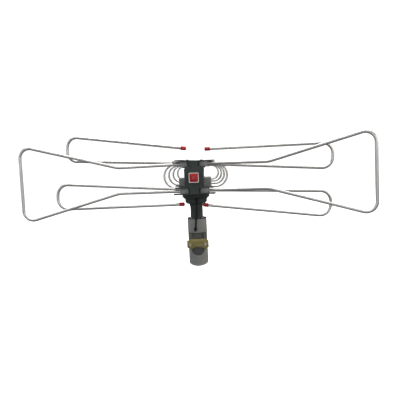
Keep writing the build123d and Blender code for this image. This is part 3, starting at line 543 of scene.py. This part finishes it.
def soft_red(colour):
    """Dipped red plastic of caps and plugs: glossy, with faint streaks and paler thin edges."""
    finish = Finish("red_plastic", colour, 0.32, **{"Coat Weight": 0.25, "Coat Roughness": 0.2})
    streaks = finish.noise(4, 4, 0.6, (1, 1, 0.5))
    tone = clouded(finish, streaks, colour, scaled(colour, 0.7), toned(colour, 0.06, 0.03, 0.02))
    tone = finish.mix(finish.edge(0.53, 0.63), tone, toned(colour, 0.14, 0.09, 0.07))
    relief = finish.bump(finish.noise(0.5, 2), 0.03, 0.4)
    return finish.done(Base_Color=tone, Roughness=finish.between(streaks, 0.24, 0.42), Normal=relief)


def yellow_zinc(colour):
    """Yellow-passivated plating: olive gold that drifts to pink and green, with dull rolled edges."""
    finish = Finish("yellow_zinc", colour, 0.36, 0.85)
    colour = scaled(colour, 0.5)
    drift = finish.noise(9, 3, 0.5)
    tone = finish.ramp(drift, (0.3, toned(colour, -0.1, -0.04, -0.03)), (0.45, colour),
                       (0.6, toned(colour, 0.12, 0.05, 0.0)), (0.72, toned(colour, 0.1, 0.0, 0.07)))
    spots = finish.ramp(finish.noise(1.6, 5, 0.7), (0.6, 0.0), (0.78, 0.7))
    tone = finish.mix(spots, tone, scaled(colour, 0.45))
    tone = finish.mix(finish.edge(0.53, 0.62), tone, toned(scaled(colour, 1.5), 0.1, 0.1, 0.1))
    relief = finish.bump(finish.noise(0.7, 3), 0.03, 0.5, finish.bump(finish.noise(7, 1), 0.1, 0.3))
    return finish.done(Base_Color=tone, Roughness=finish.between(drift, 0.26, 0.5), Normal=relief)


def bright_zinc(colour):
    """Bright zinc-plated steel: cloudy plating, machining lines and painted shade darkening the corners."""
    finish = Finish("bright_steel", colour, 0.3, 1.0)
    clouds = finish.noise(3.5, 4, 0.6)
    tone = clouded(finish, clouds, colour, scaled(colour, 0.7), toned(colour, 0.1, 0.1, 0.12))
    # painted shade: hollows with low pointiness are darkened to stand in for shade in the corners
    painted_corner_shade = finish.ramp(finish.add("ShaderNodeNewGeometry").outputs["Pointiness"], (0.4, 0.75), (0.48, 0.0))
    tone = finish.mix(painted_corner_shade, tone, scaled(colour, 0.3))
    relief = finish.bump(finish.noise(0.35, 3), 0.015, 0.5)
    return finish.done(Base_Color=tone, Roughness=finish.between(clouds, 0.2, 0.42), Normal=relief)


def blackened_steel(colour):
    """Blackened pins: dark oxide, brighter where the heads are rubbed."""
    finish = Finish("rivet_steel", colour, 0.42, 0.9)
    clouds = finish.noise(2.5, 4, 0.6)
    tone = clouded(finish, clouds, colour, scaled(colour, 0.6), scaled(colour, 2.2), (0.3, 0.6, 0.85))
    tone = finish.mix(finish.edge(0.53, 0.6), tone, scaled(colour, 4.0))
    relief = finish.bump(finish.noise(0.4, 3), 0.02, 0.5)
    return finish.done(Base_Color=tone, Roughness=finish.between(clouds, 0.3, 0.55), Normal=relief)


def pale_plastic(name, colour, cloud_size, low, high):
    """Unpainted engineering plastic: faint flow clouds, satin skin and rubbed edges."""
    finish = Finish(name, colour, 0.45)
    clouds = finish.noise(cloud_size, 4, 0.55)
    tone = clouded(finish, clouds, colour, scaled(colour, 0.82), scaled(colour, 1.12))
    tone = finish.mix(finish.edge(0.53, 0.62), tone, scaled(colour, 1.4))
    relief = finish.bump(finish.noise(0.5, 2), 0.04, 0.45)
    return finish.done(Base_Color=tone, Roughness=finish.between(clouds, low, high), Normal=relief)


def light_lug(colour):
    return pale_plastic("lug_plastic", scaled(colour, 1.45), 7, 0.38, 0.58)


def gear_nylon(colour):
    return pale_plastic("gear_nylon", colour, 5, 0.3, 0.45)


def cable_sheath(colour):
    """Black extruded sheath: satin, with faint lengthwise drag and dust."""
    finish = Finish("cable_rubber", colour, 0.45)
    dust = finish.noise(5, 5, 0.65)
    light = toned(colour, 0.03, 0.03, 0.028)
    tone = clouded(finish, dust, colour, scaled(colour, 0.7), light, (0.35, 0.6, 0.85))
    relief = finish.bump(finish.noise(0.5, 3, 0.6), 0.03, 0.5)
    return finish.done(Base_Color=tone, Roughness=finish.between(dust, 0.36, 0.6), Normal=relief)


def printed_board(colour):
    """Lacquered circuit board: copper tracks under green, tinned pads."""
    finish = Finish("circuit_board", colour, 0.3, **{"Coat Weight": 0.5, "Coat Roughness": 0.1})
    bricks = finish.add("ShaderNodeTexBrick", {
        "Vector": finish.where(), "Scale": 1 / (9 * MM), "Mortar Size": 0.07, "Mortar Smooth": 0.1,
        "Color1": (*colour, 1), "Color2": (*scaled(colour, 0.85), 1),
        "Mortar": (*toned(colour, 0.06, 0.12, 0.02), 1)})
    pads = finish.ramp(finish.cells(3.2), (0.16, 1.0), (0.2, 0.0))
    tone = finish.mix(pads, bricks.outputs["Color"], (0.62, 0.62, 0.58))
    relief = finish.bump(bricks.outputs["Fac"], -0.04, 0.6)
    return finish.done(Base_Color=tone, Roughness=finish.between(finish.noise(4), 0.22, 0.4), Normal=relief)


RECIPES = {
    "base_plastic": (moulded_grey, "base"),
    "dark_plastic": (moulded_charcoal, "dark"),
    "element_aluminium": (drawn_aluminium, "elements"),
    "boom_aluminium": (extruded_aluminium, "boom"),
    "red_plastic": (soft_red, "red"),
    "yellow_zinc": (yellow_zinc, "zinc"),
    "bright_steel": (bright_zinc, "steel"),
    "rivet_steel": (blackened_steel, "rivet"),
    "lug_plastic": (light_lug, "lug"),
    "gear_nylon": (gear_nylon, "nylon"),
    "cable_rubber": (cable_sheath, "rubber"),
    "circuit_board": (printed_board, "board"),
}


def finish_of(slot):
    """The finish of one material slot, made when it is first asked for."""
    if slot not in bpy.data.materials:
        recipe, colour = RECIPES[slot]
        recipe(tuple(getattr(bpy.context.scene.antenna_colours, colour)))
    return bpy.data.materials[slot]


def fit(piece, *nodes, slot=None):
    """Give a piece its finish, let it ride with the CAD nodes that it stands for, and hide them."""
    slot = slot or SLOT_OF[nodes[0]]
    piece.data.materials.clear()
    piece.data.materials.append(finish_of(slot))
    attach(piece, BODY_OF[nodes[0]])
    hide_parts(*nodes)
    return piece


# ---------------------------------------------------------------- places taken from the frame

def hinge_place(joint_name, unfolded_at):
    """Place of a folding element at rest: its origin on its pins, X out along its tubes, Z up its pins."""
    joint = JOINTS[joint_name]
    pin = Vector(joint["pos_m"])
    side = math.copysign(1, pin.x)
    up = Vector(joint["axis"]) * side
    back = Vector((0, side, 0))
    out = back.cross(up)
    turned_to = Matrix((out, back, up)).transposed().to_4x4()
    fold = -math.radians(joint["range_deg"][unfolded_at])
    return Matrix.Translation(pin) @ turned_to @ Matrix.Rotation(side * fold, 4, "Z")


def loop_place(side):
    return hinge_place(f"loop_fold_{side}", 1)


def hairpin_place(corner):
    return hinge_place(f"hairpin_fold_{corner}", 0)


def along_y(x, y, z):
    """Place whose local Z runs towards the front, along -Y."""
    return Matrix.Translation((x, y, z)) @ Matrix.Rotation(math.pi / 2, 4, "X")


# ---------------------------------------------------------------- pieces

CABLE_ROUTE = [
    (0.0030, -0.0438, 0.1925), (0.0028, -0.0326, 0.1745), (0.0012, -0.0320, 0.1520),
    (-0.0010, -0.0306, 0.1312), (-0.0029, -0.0312, 0.1151), (-0.0041, -0.0284, 0.1046),
    (-0.0048, -0.0218, 0.0960),
]


def cable_line(radius):
    """The cable as one smooth spline, through the air from the port to the terminal."""
    curve = bpy.data.curves.new("antenna_coax", "CURVE")
    curve.dimensions = "3D"
    spline = curve.splines.new("NURBS")
    spline.points.add(len(CABLE_ROUTE) - 1)
    for point, place_on_route in zip(spline.points, CABLE_ROUTE):
        point.co = (*place_on_route, 1)
    spline.order_u = 3
    spline.use_endpoint_u = True
    spline.resolution_u = 16
    cable = bpy.data.objects.new("antenna_coax", curve)
    bpy.context.scene.collection.objects.link(cable)
    line = centre_line(cable)
    curve.bevel_depth = radius
    curve.bevel_resolution = 6
    curve.use_fill_caps = True
    return cable, line


def centre_line(cable):
    """Points along a cable's own spline, which has no thickness yet."""
    bpy.context.view_layer.update()
    mesh = bpy.data.meshes.new_from_object(cable.evaluated_get(bpy.context.evaluated_depsgraph_get()))
    points = [vertex.co.copy() for vertex in mesh.vertices]
    bpy.data.meshes.remove(mesh)
    return points


def bend_onto(piece, line):
    """Carry a piece that stands up from the origin onto a line, its height measured along it."""
    travelled = [0.0]
    for first, second in zip(line, line[1:]):
        travelled.append(travelled[-1] + (second - first).length)
    for vertex in piece.data.vertices:
        step = max(i for i, far in enumerate(travelled[:-1]) if far <= max(0.0, vertex.co.z))
        way = (line[step + 1] - line[step]).normalized()
        centre = line[step] + way * (vertex.co.z - travelled[step])
        across = Vector((1, 0, 0))
        across = (across - way * across.dot(way)).normalized()
        vertex.co = centre + across * vertex.co.x + way.cross(across) * vertex.co.y
    piece.data.update()
    return piece


def ribbed_boot(sizes, line):
    """Strain relief: a flange at the port, then a taper of raised ribs that thins towards its tip."""
    bore = sizes.radius + 0.05 * MM
    profile = [(bore, 0.0), (sizes.boot_foot + 0.6 * MM, 0.0), (sizes.boot_foot + 0.6 * MM, 1.6 * MM)]
    pitch = (sizes.boot_length - 3.0 * MM) / sizes.boot_ribs
    for rib in range(sizes.boot_ribs):
        low = 1.6 * MM + rib * pitch
        outer = sizes.boot_foot + (sizes.boot_tip - sizes.boot_foot) * rib / (sizes.boot_ribs - 1)
        groove = max(outer - 0.75 * MM, bore + 0.3 * MM)
        profile += [(groove, low + 0.1 * pitch), (groove, low + 0.4 * pitch),
                    (outer, low + 0.55 * pitch), (outer, low + 0.95 * pitch)]
    end = sizes.boot_length
    profile += [(sizes.boot_tip, end - 0.4 * MM), (sizes.boot_tip - 0.2 * MM, end), (bore, end), (bore, 0.0)]
    return bend_onto(turned("cable_strain_relief", profile, 28), line)


class ANTENNA_OT_cable(bpy.types.Operator):
    """Hang the coaxial cable from the port in the housing's cover to the base, with its strain relief"""
    bl_idname = "antenna.cable"
    bl_label = "Coaxial Cable"

    def execute(self, context):
        sizes = context.scene.antenna_cable
        cable, line = cable_line(sizes.radius)
        fit(cable, "antenna_cable")
        boot_start = 3.0 * MM
        past = next(i for i, point in enumerate(line) if (point - line[0]).length > boot_start)
        boot = fit(ribbed_boot(sizes, line[past:]), "cable_boot")
        return {"FINISHED"}


class ANTENNA_OT_front_loops(bpy.types.Operator):
    """Bend the two large front loops"""
    bl_idname = "antenna.front_loops"
    bl_label = "Front Loops"

    def execute(self, context):
        sizes = context.scene.antenna_elements
        half = [
            (sizes.socket_x, sizes.end_z), (sizes.straight_x, sizes.end_z),
            (sizes.loop_neck_x, sizes.loop_neck_z), (sizes.loop_outer_x, sizes.loop_outer_z),
        ]
        outline = [(x, 0, z) for x, z in half] + [(x, 0, -z) for x, z in reversed(half)]
        bends = [sizes.neck_bend, sizes.neck_bend, sizes.corner_bend]
        loop = tube_along("loop", outline, bends + bends[::-1], sizes.tube_radius, sizes.tube_sides)
        for side in SIDES:
            fit(copy_of(loop, f"loop_tube_{side}", loop_place(side)), f"front_loop_{side}")
        bpy.data.objects.remove(loop)
        return {"FINISHED"}


class ANTENNA_OT_hairpins(bpy.types.Operator):
    """Bend the four hairpins and push a red cap over each free end"""
    bl_idname = "antenna.hairpins"
    bl_label = "Hairpins and Caps"

    def execute(self, context):
        sizes = context.scene.antenna_elements
        outline = [
            (sizes.socket_x, 0, sizes.end_z), (sizes.straight_x, 0, sizes.end_z),
            (sizes.hairpin_outer_x, 0, sizes.end_z - sizes.hairpin_drop),
            (sizes.hairpin_outer_x, 0, sizes.end_z + sizes.hairpin_rise),
            (sizes.hairpin_free_x, 0, sizes.end_z + sizes.hairpin_free_z),
        ]
        bends = [sizes.neck_bend, sizes.hairpin_bend, sizes.hairpin_bend]
        hairpin = tube_along("hairpin", outline, bends, sizes.tube_radius, sizes.tube_sides)
        cap = hairpin_cap(sizes)
        free_end = Vector(outline[-1])
        inward = (free_end - Vector(outline[-2])).normalized()
        turn = inward.to_track_quat("Z", "Y").to_matrix().to_4x4()
        on_end = Matrix.Translation(free_end + inward * sizes.cap_end) @ turn
        for corner in CORNERS:
            at = hairpin_place(corner)
            if corner.startswith("lower"):
                at = at @ Matrix.Scale(-1, 4, (0, 0, 1))
            tube = copy_of(hairpin, f"hairpin_tube_{corner}", at)
            end_cap = copy_of(cap, f"end_cap_{corner}", at @ on_end)
            for shape, node in ((tube, f"hairpin_{corner}"), (end_cap, f"hairpin_cap_{corner}")):
                if corner.startswith("lower"):
                    shape.data.flip_normals()
                fit(shape, node)
        bpy.data.objects.remove(hairpin)
        bpy.data.objects.remove(cap)
        return {"FINISHED"}


def hairpin_cap(sizes):
    """Push-on cap with a rolled bead at its mouth and a softly domed end, which lies at the origin."""
    outer, mouth, inside = sizes.cap_radius, -sizes.cap_length, -sizes.cap_end
    profile = [
        (sizes.tube_radius, inside), (sizes.tube_radius, mouth), (outer - 0.3 * MM, mouth),
        (outer + 0.25 * MM, mouth + 0.5 * MM), (outer + 0.25 * MM, mouth + 1.5 * MM),
        (outer - 0.05 * MM, mouth + 2.1 * MM), (outer - 0.05 * MM, -2.4 * MM),
        (outer - 0.25 * MM, -1.3 * MM), (outer - 0.8 * MM, -0.5 * MM),
        (outer - 1.7 * MM, -0.1 * MM), (outer - 3.2 * MM, 0.0),
    ]
    return turned("cap", profile, 32)


class ANTENNA_OT_rings(bpy.types.Operator):
    """Bend the four oval rings that stand along the boom"""
    bl_idname = "antenna.rings"
    bl_label = "Oval Rings"

    def execute(self, context):
        sizes = context.scene.antenna_rings
        boom_low, boom_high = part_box("boom_tube")
        centre_z = (boom_low.z + boom_high.z) / 2
        for number in range(1, 5):
            node = f"uhf_ring_{number}"
            low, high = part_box(node)
            y = (low.y + high.y) / 2
            wide, tall = high.x - sizes.rod_radius, (high.z - low.z) / 2 - sizes.rod_radius
            outline = [(sizes.gap / 2, -tall), (wide, -tall), (wide, tall), (-wide, tall), (-wide, -tall),
                       (-sizes.gap / 2, -tall)]
            points = [(x, y, centre_z + z) for x, z in outline]
            bends = [tall - sizes.bend_short] * 4
            fit(tube_along(f"oval_ring_{number}", points, bends, sizes.rod_radius, sizes.rod_sides), node)
        return {"FINISHED"}


class ANTENNA_OT_boom_plugs(bpy.types.Operator):
    """Model the red plugs in the boom's two ends"""
    bl_idname = "antenna.boom_plugs"
    bl_label = "Boom Plugs"

    def execute(self, context):
        for node, outward in (("boom_plug_front", -1), ("boom_plug_rear", 1)):
            low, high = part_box(node)
            side, depth = high.x - low.x, high.y - low.y
            centre_z = (low.z + high.z) / 2
            half = side / 2
            profile = [
                (half - 2.2 * MM, -depth + 6 * MM), (half - 2.2 * MM, -depth), (half - 0.3 * MM, -depth),
                (half, -depth + 0.6 * MM), (half, -2.6 * MM), (half - 0.5 * MM, -2.1 * MM),
                (half - 0.9 * MM, -2.0 * MM), (half - 1.5 * MM, -2.0 * MM), (half - 1.9 * MM, -1.6 * MM),
                (half - 6.2 * MM, -0.25 * MM), (half - 7.0 * MM, 0.0), (half - 8.4 * MM, 0.0),
                (half - 8.8 * MM, -0.35 * MM),
            ]
            first_half, first_z = profile[0]
            plug = begin(node + "_pyramid", bpy.ops.mesh.primitive_plane_add, size=2 * first_half,
                         location=(0, 0, first_z))
            edit("VERT")
            bpy.ops.mesh.bevel(offset=0.06 * side, segments=4, affect="VERTICES")
            bpy.ops.mesh.select_all(action="SELECT")
            bpy.ops.mesh.delete(type="ONLY_FACE")
            leave_edit()
            raised(plug, profile)
            face_y = low.y if outward < 0 else high.y
            turn = Matrix.Rotation(-outward * math.pi / 2, 4, "X")
            place(plug, Matrix.Translation((0, face_y, centre_z)) @ turn)
            fit(plug, node)
        return {"FINISHED"}


def fit_softened(nodes):
    """Fit an eased copy of each CAD node in its place."""
    edge = bpy.context.scene.antenna_fasteners.edge
    for node in nodes:
        fit(softened(node, edge), node)


class ANTENNA_OT_mast_base(bpy.types.Operator):
    """Finish the mast base and the neck above it with eased moulded edges"""
    bl_idname = "antenna.mast_base"
    bl_label = "Mast Base and Neck"

    def execute(self, context):
        fit_softened(("base_housing", "neck_tube"))
        return {"FINISHED"}


class ANTENNA_OT_motor_housing(bpy.types.Operator):
    """Finish the motor housing, its cover and the turret"""
    bl_idname = "antenna.motor_housing"
    bl_label = "Motor Housing"

    def execute(self, context):
        fit_softened(("motor_housing", "housing_cover", "turret"))
        return {"FINISHED"}


class ANTENNA_OT_amplifier(bpy.types.Operator):
    """Finish the amplifier's case and floor"""
    bl_idname = "antenna.amplifier"
    bl_label = "Amplifier Case"

    def execute(self, context):
        fit_softened(("amplifier_case", "amplifier_floor"))
        return {"FINISHED"}


class ANTENNA_OT_brackets(bpy.types.Operator):
    """Finish the element brackets, their hinge lugs and the ring carriers"""
    bl_idname = "antenna.brackets"
    bl_label = "Brackets, Lugs and Carriers"

    def execute(self, context):
        nodes = ["front_bracket", "rear_bracket"]
        nodes += [f"front_lugs_{side}" for side in SIDES] + [f"hairpin_lug_{corner}" for corner in CORNERS]
        nodes += [f"ring_carrier_{number}" for number in range(1, 5)]
        fit_softened(nodes)
        return {"FINISHED"}


def thread_ridge(name, core, crest, pitch, start, end):
    """Closed helical ridge of triangular section about Z."""
    ridge = begin(name, bpy.ops.mesh.primitive_circle_add, vertices=3, radius=pitch * 0.56,
                  rotation=(math.pi / 2, 0, 0))
    for vertex, corner in zip(ridge.data.vertices, ((crest, 0.0), (core - 0.1 * MM, pitch * 0.46),
                                                    (core - 0.1 * MM, -pitch * 0.46))):
        vertex.co = (corner[0], 0, start + corner[1])
    turns = max(1, int((end - start) / pitch))
    modify(ridge, "SCREW", axis="Z", angle=2 * math.pi, screw_offset=pitch, iterations=turns, steps=20,
           render_steps=20, use_merge_vertices=False)
    edit("EDGE")
    bpy.ops.mesh.select_all(action="DESELECT")
    bpy.ops.mesh.select_non_manifold()
    bpy.ops.mesh.fill_holes(sides=3)
    leave_edit()
    return tidy_shell(ridge, 30.0, 0.001)


def hexagon(name, flats, thickness, chamfer, both_ends):
    """Hexagonal blank from the origin up, its corners turned away by a chamfer cone."""
    corner_r = flats / math.sqrt(3)
    blank = turned(name, [(corner_r, 0.0), (corner_r, thickness)], 6)
    inner, drop = flats / 2 * 0.96, chamfer
    low = inner if both_ends else corner_r * 1.1
    wide, proud = corner_r * 1.1, 0.001 * MM
    cone = turned("chamfer_cone", [(low, -proud), (wide, drop * 1.6), (wide, thickness - drop * 1.6),
                                   (inner, thickness + proud)], 48)
    return carve(blank, cone, "INTERSECT")


class ANTENNA_OT_clamp(bpy.types.Operator):
    """Model the mast clamp: pressed jaw, threaded bolts, chamfered nuts and washers"""
    bl_idname = "antenna.clamp"
    bl_label = "Mast Clamp"

    def execute(self, context):
        sizes = context.scene.antenna_fasteners
        fit(softened("clamp_jaw", sizes.pressed_edge), "clamp_jaw")
        bolt_low, bolt_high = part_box("clamp_bolts")
        nut_low, nut_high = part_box("clamp_nuts")
        washer_low, washer_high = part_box("clamp_washers")
        z = (bolt_low.z + bolt_high.z) / 2
        radius, pitch = sizes.bolt_radius, sizes.bolt_pitch
        bolt_x = washer_high.x - (washer_high.z - washer_low.z) / 2
        head = 3.0 * MM
        shank_length = bolt_high.y - head - bolt_low.y
        thread_end = 22.0 * MM
        core = radius - 0.45 * MM
        thread_start = shank_length - thread_end
        shank = turned("shank", [(radius, 0.0), (radius, thread_start), (core, thread_start + 0.5 * MM),
                                 (core, shank_length - 0.5 * MM), (core - 0.5 * MM, shank_length)], 28)
        ridge = thread_ridge("ridge", core, radius, pitch, thread_start + pitch, shank_length - 1.6 * MM)
        cap_screw = hexagon("bolt_head", sizes.head_flats, head, 0.5 * MM, False)
        place(cap_screw, Matrix.Rotation(math.pi, 4, "X"))
        bolt = join([shank, ridge, cap_screw], "bolt")
        nut = hexagon("nut", sizes.nut_flats, nut_high.y - nut_low.y, 0.45 * MM, True)
        nut_bore = radius + 0.05 * MM
        carve(nut, turned("bore", [(nut_bore, -MM), (nut_bore, 8 * MM)], 28), "DIFFERENCE")
        thick, washer_r = washer_high.y - washer_low.y, (washer_high.z - washer_low.z) / 2
        ease = 0.2 * MM
        washer = turned("washer", [
            (radius + ease, 0.0), (washer_r - ease, 0.0), (washer_r, ease), (washer_r, thick - ease),
            (washer_r - ease, thick), (radius + ease, thick), (radius + ease, 0.0)], 36)
        blanks = ((bolt, bolt_high.y - head, "clamp_bolts"), (nut, nut_high.y, "clamp_nuts"),
                  (washer, washer_high.y, "clamp_washers"))
        for blank, seat_y, name in blanks:
            tidy_shell(blank, 30.0, 0.001)
            twins = []
            for side, turn in ((-1, sizes.left_turn), (1, sizes.right_turn)):
                seat = along_y(side * bolt_x, seat_y, z) @ Matrix.Rotation(turn, 4, "Z")
                twins.append(copy_of(blank, name + "_twin", seat))
            fit(join(twins, name + "_pair"), name)
            bpy.data.objects.remove(blank)
        return {"FINISHED"}


class ANTENNA_OT_hinge_pins(bpy.types.Operator):
    """Model the hinge pins with domed heads"""
    bl_idname = "antenna.hinge_pins"
    bl_label = "Hinge Pins"

    def execute(self, context):
        pivot = Vector(JOINTS["loop_fold_right"]["pos_m"])
        loop_up = Vector((0, 0, 1))
        turned_joint = JOINTS["hairpin_fold_upper_right"]
        rear_pivot, rear_up = Vector(turned_joint["pos_m"]), Vector(turned_joint["axis"])
        for node, right_pin, up in (("front_pins", pivot, loop_up), ("rear_pins", rear_pivot, rear_up)):
            boom_low, boom_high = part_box("boom_tube")
            centre = Vector((0, right_pin.y, (boom_low.z + boom_high.z) / 2))
            top, head, radius, head_r = 43.5 * MM, 1.5 * MM, 2.5 * MM, 4.2 * MM
            pin = turned("pin", [
                (radius, 21 * MM), (radius, top), (head_r - 0.1 * MM, top), (head_r, top + 0.25 * head),
                (head_r * 0.93, top + 0.6 * head), (head_r * 0.7, top + 0.88 * head),
                (head_r * 0.35, top + head),
            ], 28)
            pins = []
            for side in (-1, 1):
                for end in (-1, 1):
                    middle = centre + (right_pin - centre) * side
                    way = (up * end).to_track_quat("Z", "Y").to_matrix().to_4x4()
                    pins.append(copy_of(pin, "pin_twin", Matrix.Translation(middle) @ way))
            bpy.data.objects.remove(pin)
            fit(join(pins, node + "_domed"), node)
        return {"FINISHED"}


class ANTENNA_OT_frame_finishes(bpy.types.Operator):
    """Give every carried-over CAD node its finish"""
    bl_idname = "antenna.frame_finishes"
    bl_label = "Frame Finishes"

    def execute(self, context):
        for node, cad in FRAME_NODES.items():
            cad.data.materials.clear()
            cad.data.materials.append(finish_of(SLOT_OF[node]))
        return {"FINISHED"}


# ---------------------------------------------------------------- stage

def area_lamp(name, place_at, aim, size, power, colour=(1, 1, 1)):
    """Soft rectangular lamp aimed at a point."""
    lamp = bpy.data.lights.new(name, "AREA")
    lamp.shape = "RECTANGLE"
    lamp.size, lamp.size_y = size
    lamp.energy = power
    lamp.color = colour
    holder = bpy.data.objects.new(name, lamp)
    holder.location = place_at
    holder.rotation_euler = (Vector(aim) - Vector(place_at)).to_track_quat("-Z", "Y").to_euler()
    bpy.context.scene.collection.objects.link(holder)
    return holder


def pale_floor(colour):
    """Plain pale floor and backdrop, evenly bright."""
    finish = Finish("pale_floor", colour, 0.9)
    finish.done(**{"Emission_Color": (*colour, 1), "Emission_Strength": 1.15})
    return finish.material


class ANTENNA_OT_stage(bpy.types.Operator):
    """Set the camera, a plain pale floor with a curved backdrop, and soft studio lamps"""
    bl_idname = "antenna.stage"
    bl_label = "Stage"

    def execute(self, context):
        scene = context.scene
        setting = scene.antenna_stage
        view = bpy.data.cameras.new("camera")
        view.lens = setting.lens
        view.sensor_width = 36.0
        camera = bpy.data.objects.new("camera", view)
        scene.collection.objects.link(camera)
        way = Vector((math.sin(setting.aim_yaw) * math.cos(setting.aim_pitch),
                      math.cos(setting.aim_yaw) * math.cos(setting.aim_pitch), math.sin(setting.aim_pitch)))
        camera.location = setting.camera
        camera.rotation_mode = "QUATERNION"
        camera.rotation_quaternion = way.to_track_quat("-Z", "Y") @ Quaternion((0, 0, 1), setting.roll)
        scene.camera = camera

        radius = setting.cove_radius
        cove = turned("floor_cove", [
            (0.02, 0.0), (radius, 0.0), (radius * 1.08, radius * 0.02), (radius * 1.15, radius * 0.08),
            (radius * 1.18, radius * 0.18), (radius * 1.2, radius * 1.4), (0.02, radius * 1.9)], 96)
        cove.data.flip_normals()
        cove.data.materials.append(pale_floor(tuple(setting.floor_colour)))
        cove.visible_glossy = False
        cove.visible_diffuse = False
        cove.visible_shadow = False

        world = bpy.data.worlds.new("studio")
        world.use_nodes = True
        world.node_tree.nodes["Background"].inputs["Color"].default_value = (0.12, 0.12, 0.125, 1)
        world.node_tree.nodes["Background"].inputs["Strength"].default_value = 1.0
        scene.world = world
        area_lamp("overhead_soft", (0.0, 0.35, 1.9), (0, 0, 0.2), (3.2, 1.8), 60)
        area_lamp("front_fill", (0.0, -2.6, 0.6), (0, 0, 0.2), (2.6, 1.4), 12)
        area_lamp("right_warm", (2.2, -0.9, 0.9), (0, 0, 0.15), (1.0, 1.2), 14, (1.0, 0.93, 0.84))
        area_lamp("left_cool", (-2.2, -0.7, 0.8), (0, 0, 0.15), (1.0, 1.2), 8, (0.86, 0.93, 1.0))
        scene.view_settings.view_transform = "Standard"
        return {"FINISHED"}


class ANTENNA_PT_sidebar(bpy.types.Panel):
    """Operators and sizes of the antenna"""
    bl_label = "Television Antenna"
    bl_idname = "ANTENNA_PT_sidebar"
    bl_space_type = "VIEW_3D"
    bl_region_type = "UI"
    bl_category = "Antenna"

    def draw(self, context):
        column = self.layout.column(align=True)
        for operator in OPERATORS:
            column.operator(operator.bl_idname)
        for name, group in GROUPS.items():
            box = self.layout.box()
            box.label(text=group.__doc__)
            settings = getattr(context.scene, name)
            for field in group.__annotations__:
                box.prop(settings, field)


OPERATORS = (
    ANTENNA_OT_stage, ANTENNA_OT_cable, ANTENNA_OT_front_loops, ANTENNA_OT_hairpins, ANTENNA_OT_rings,
    ANTENNA_OT_boom_plugs, ANTENNA_OT_mast_base, ANTENNA_OT_motor_housing, ANTENNA_OT_amplifier,
    ANTENNA_OT_brackets, ANTENNA_OT_clamp, ANTENNA_OT_hinge_pins, ANTENNA_OT_frame_finishes,
)
GROUPS = {
    "antenna_elements": ANTENNA_PG_elements,
    "antenna_rings": ANTENNA_PG_rings,
    "antenna_cable": ANTENNA_PG_cable,
    "antenna_fasteners": ANTENNA_PG_fasteners,
    "antenna_colours": ANTENNA_PG_colours,
    "antenna_stage": ANTENNA_PG_stage,
}


def register():
    for kind in (*GROUPS.values(), *OPERATORS, ANTENNA_PT_sidebar):
        bpy.utils.register_class(kind)
    for name, group in GROUPS.items():
        setattr(bpy.types.Scene, name, bpy.props.PointerProperty(type=group))


def unregister():
    for name in GROUPS:
        delattr(bpy.types.Scene, name)
    for kind in reversed((*GROUPS.values(), *OPERATORS, ANTENNA_PT_sidebar)):
        bpy.utils.unregister_class(kind)


def main():
    register()
    for operator in OPERATORS:
        family, name = operator.bl_idname.split(".")
        getattr(getattr(bpy.ops, family), name)()


if __name__ == "__main__":
    main()
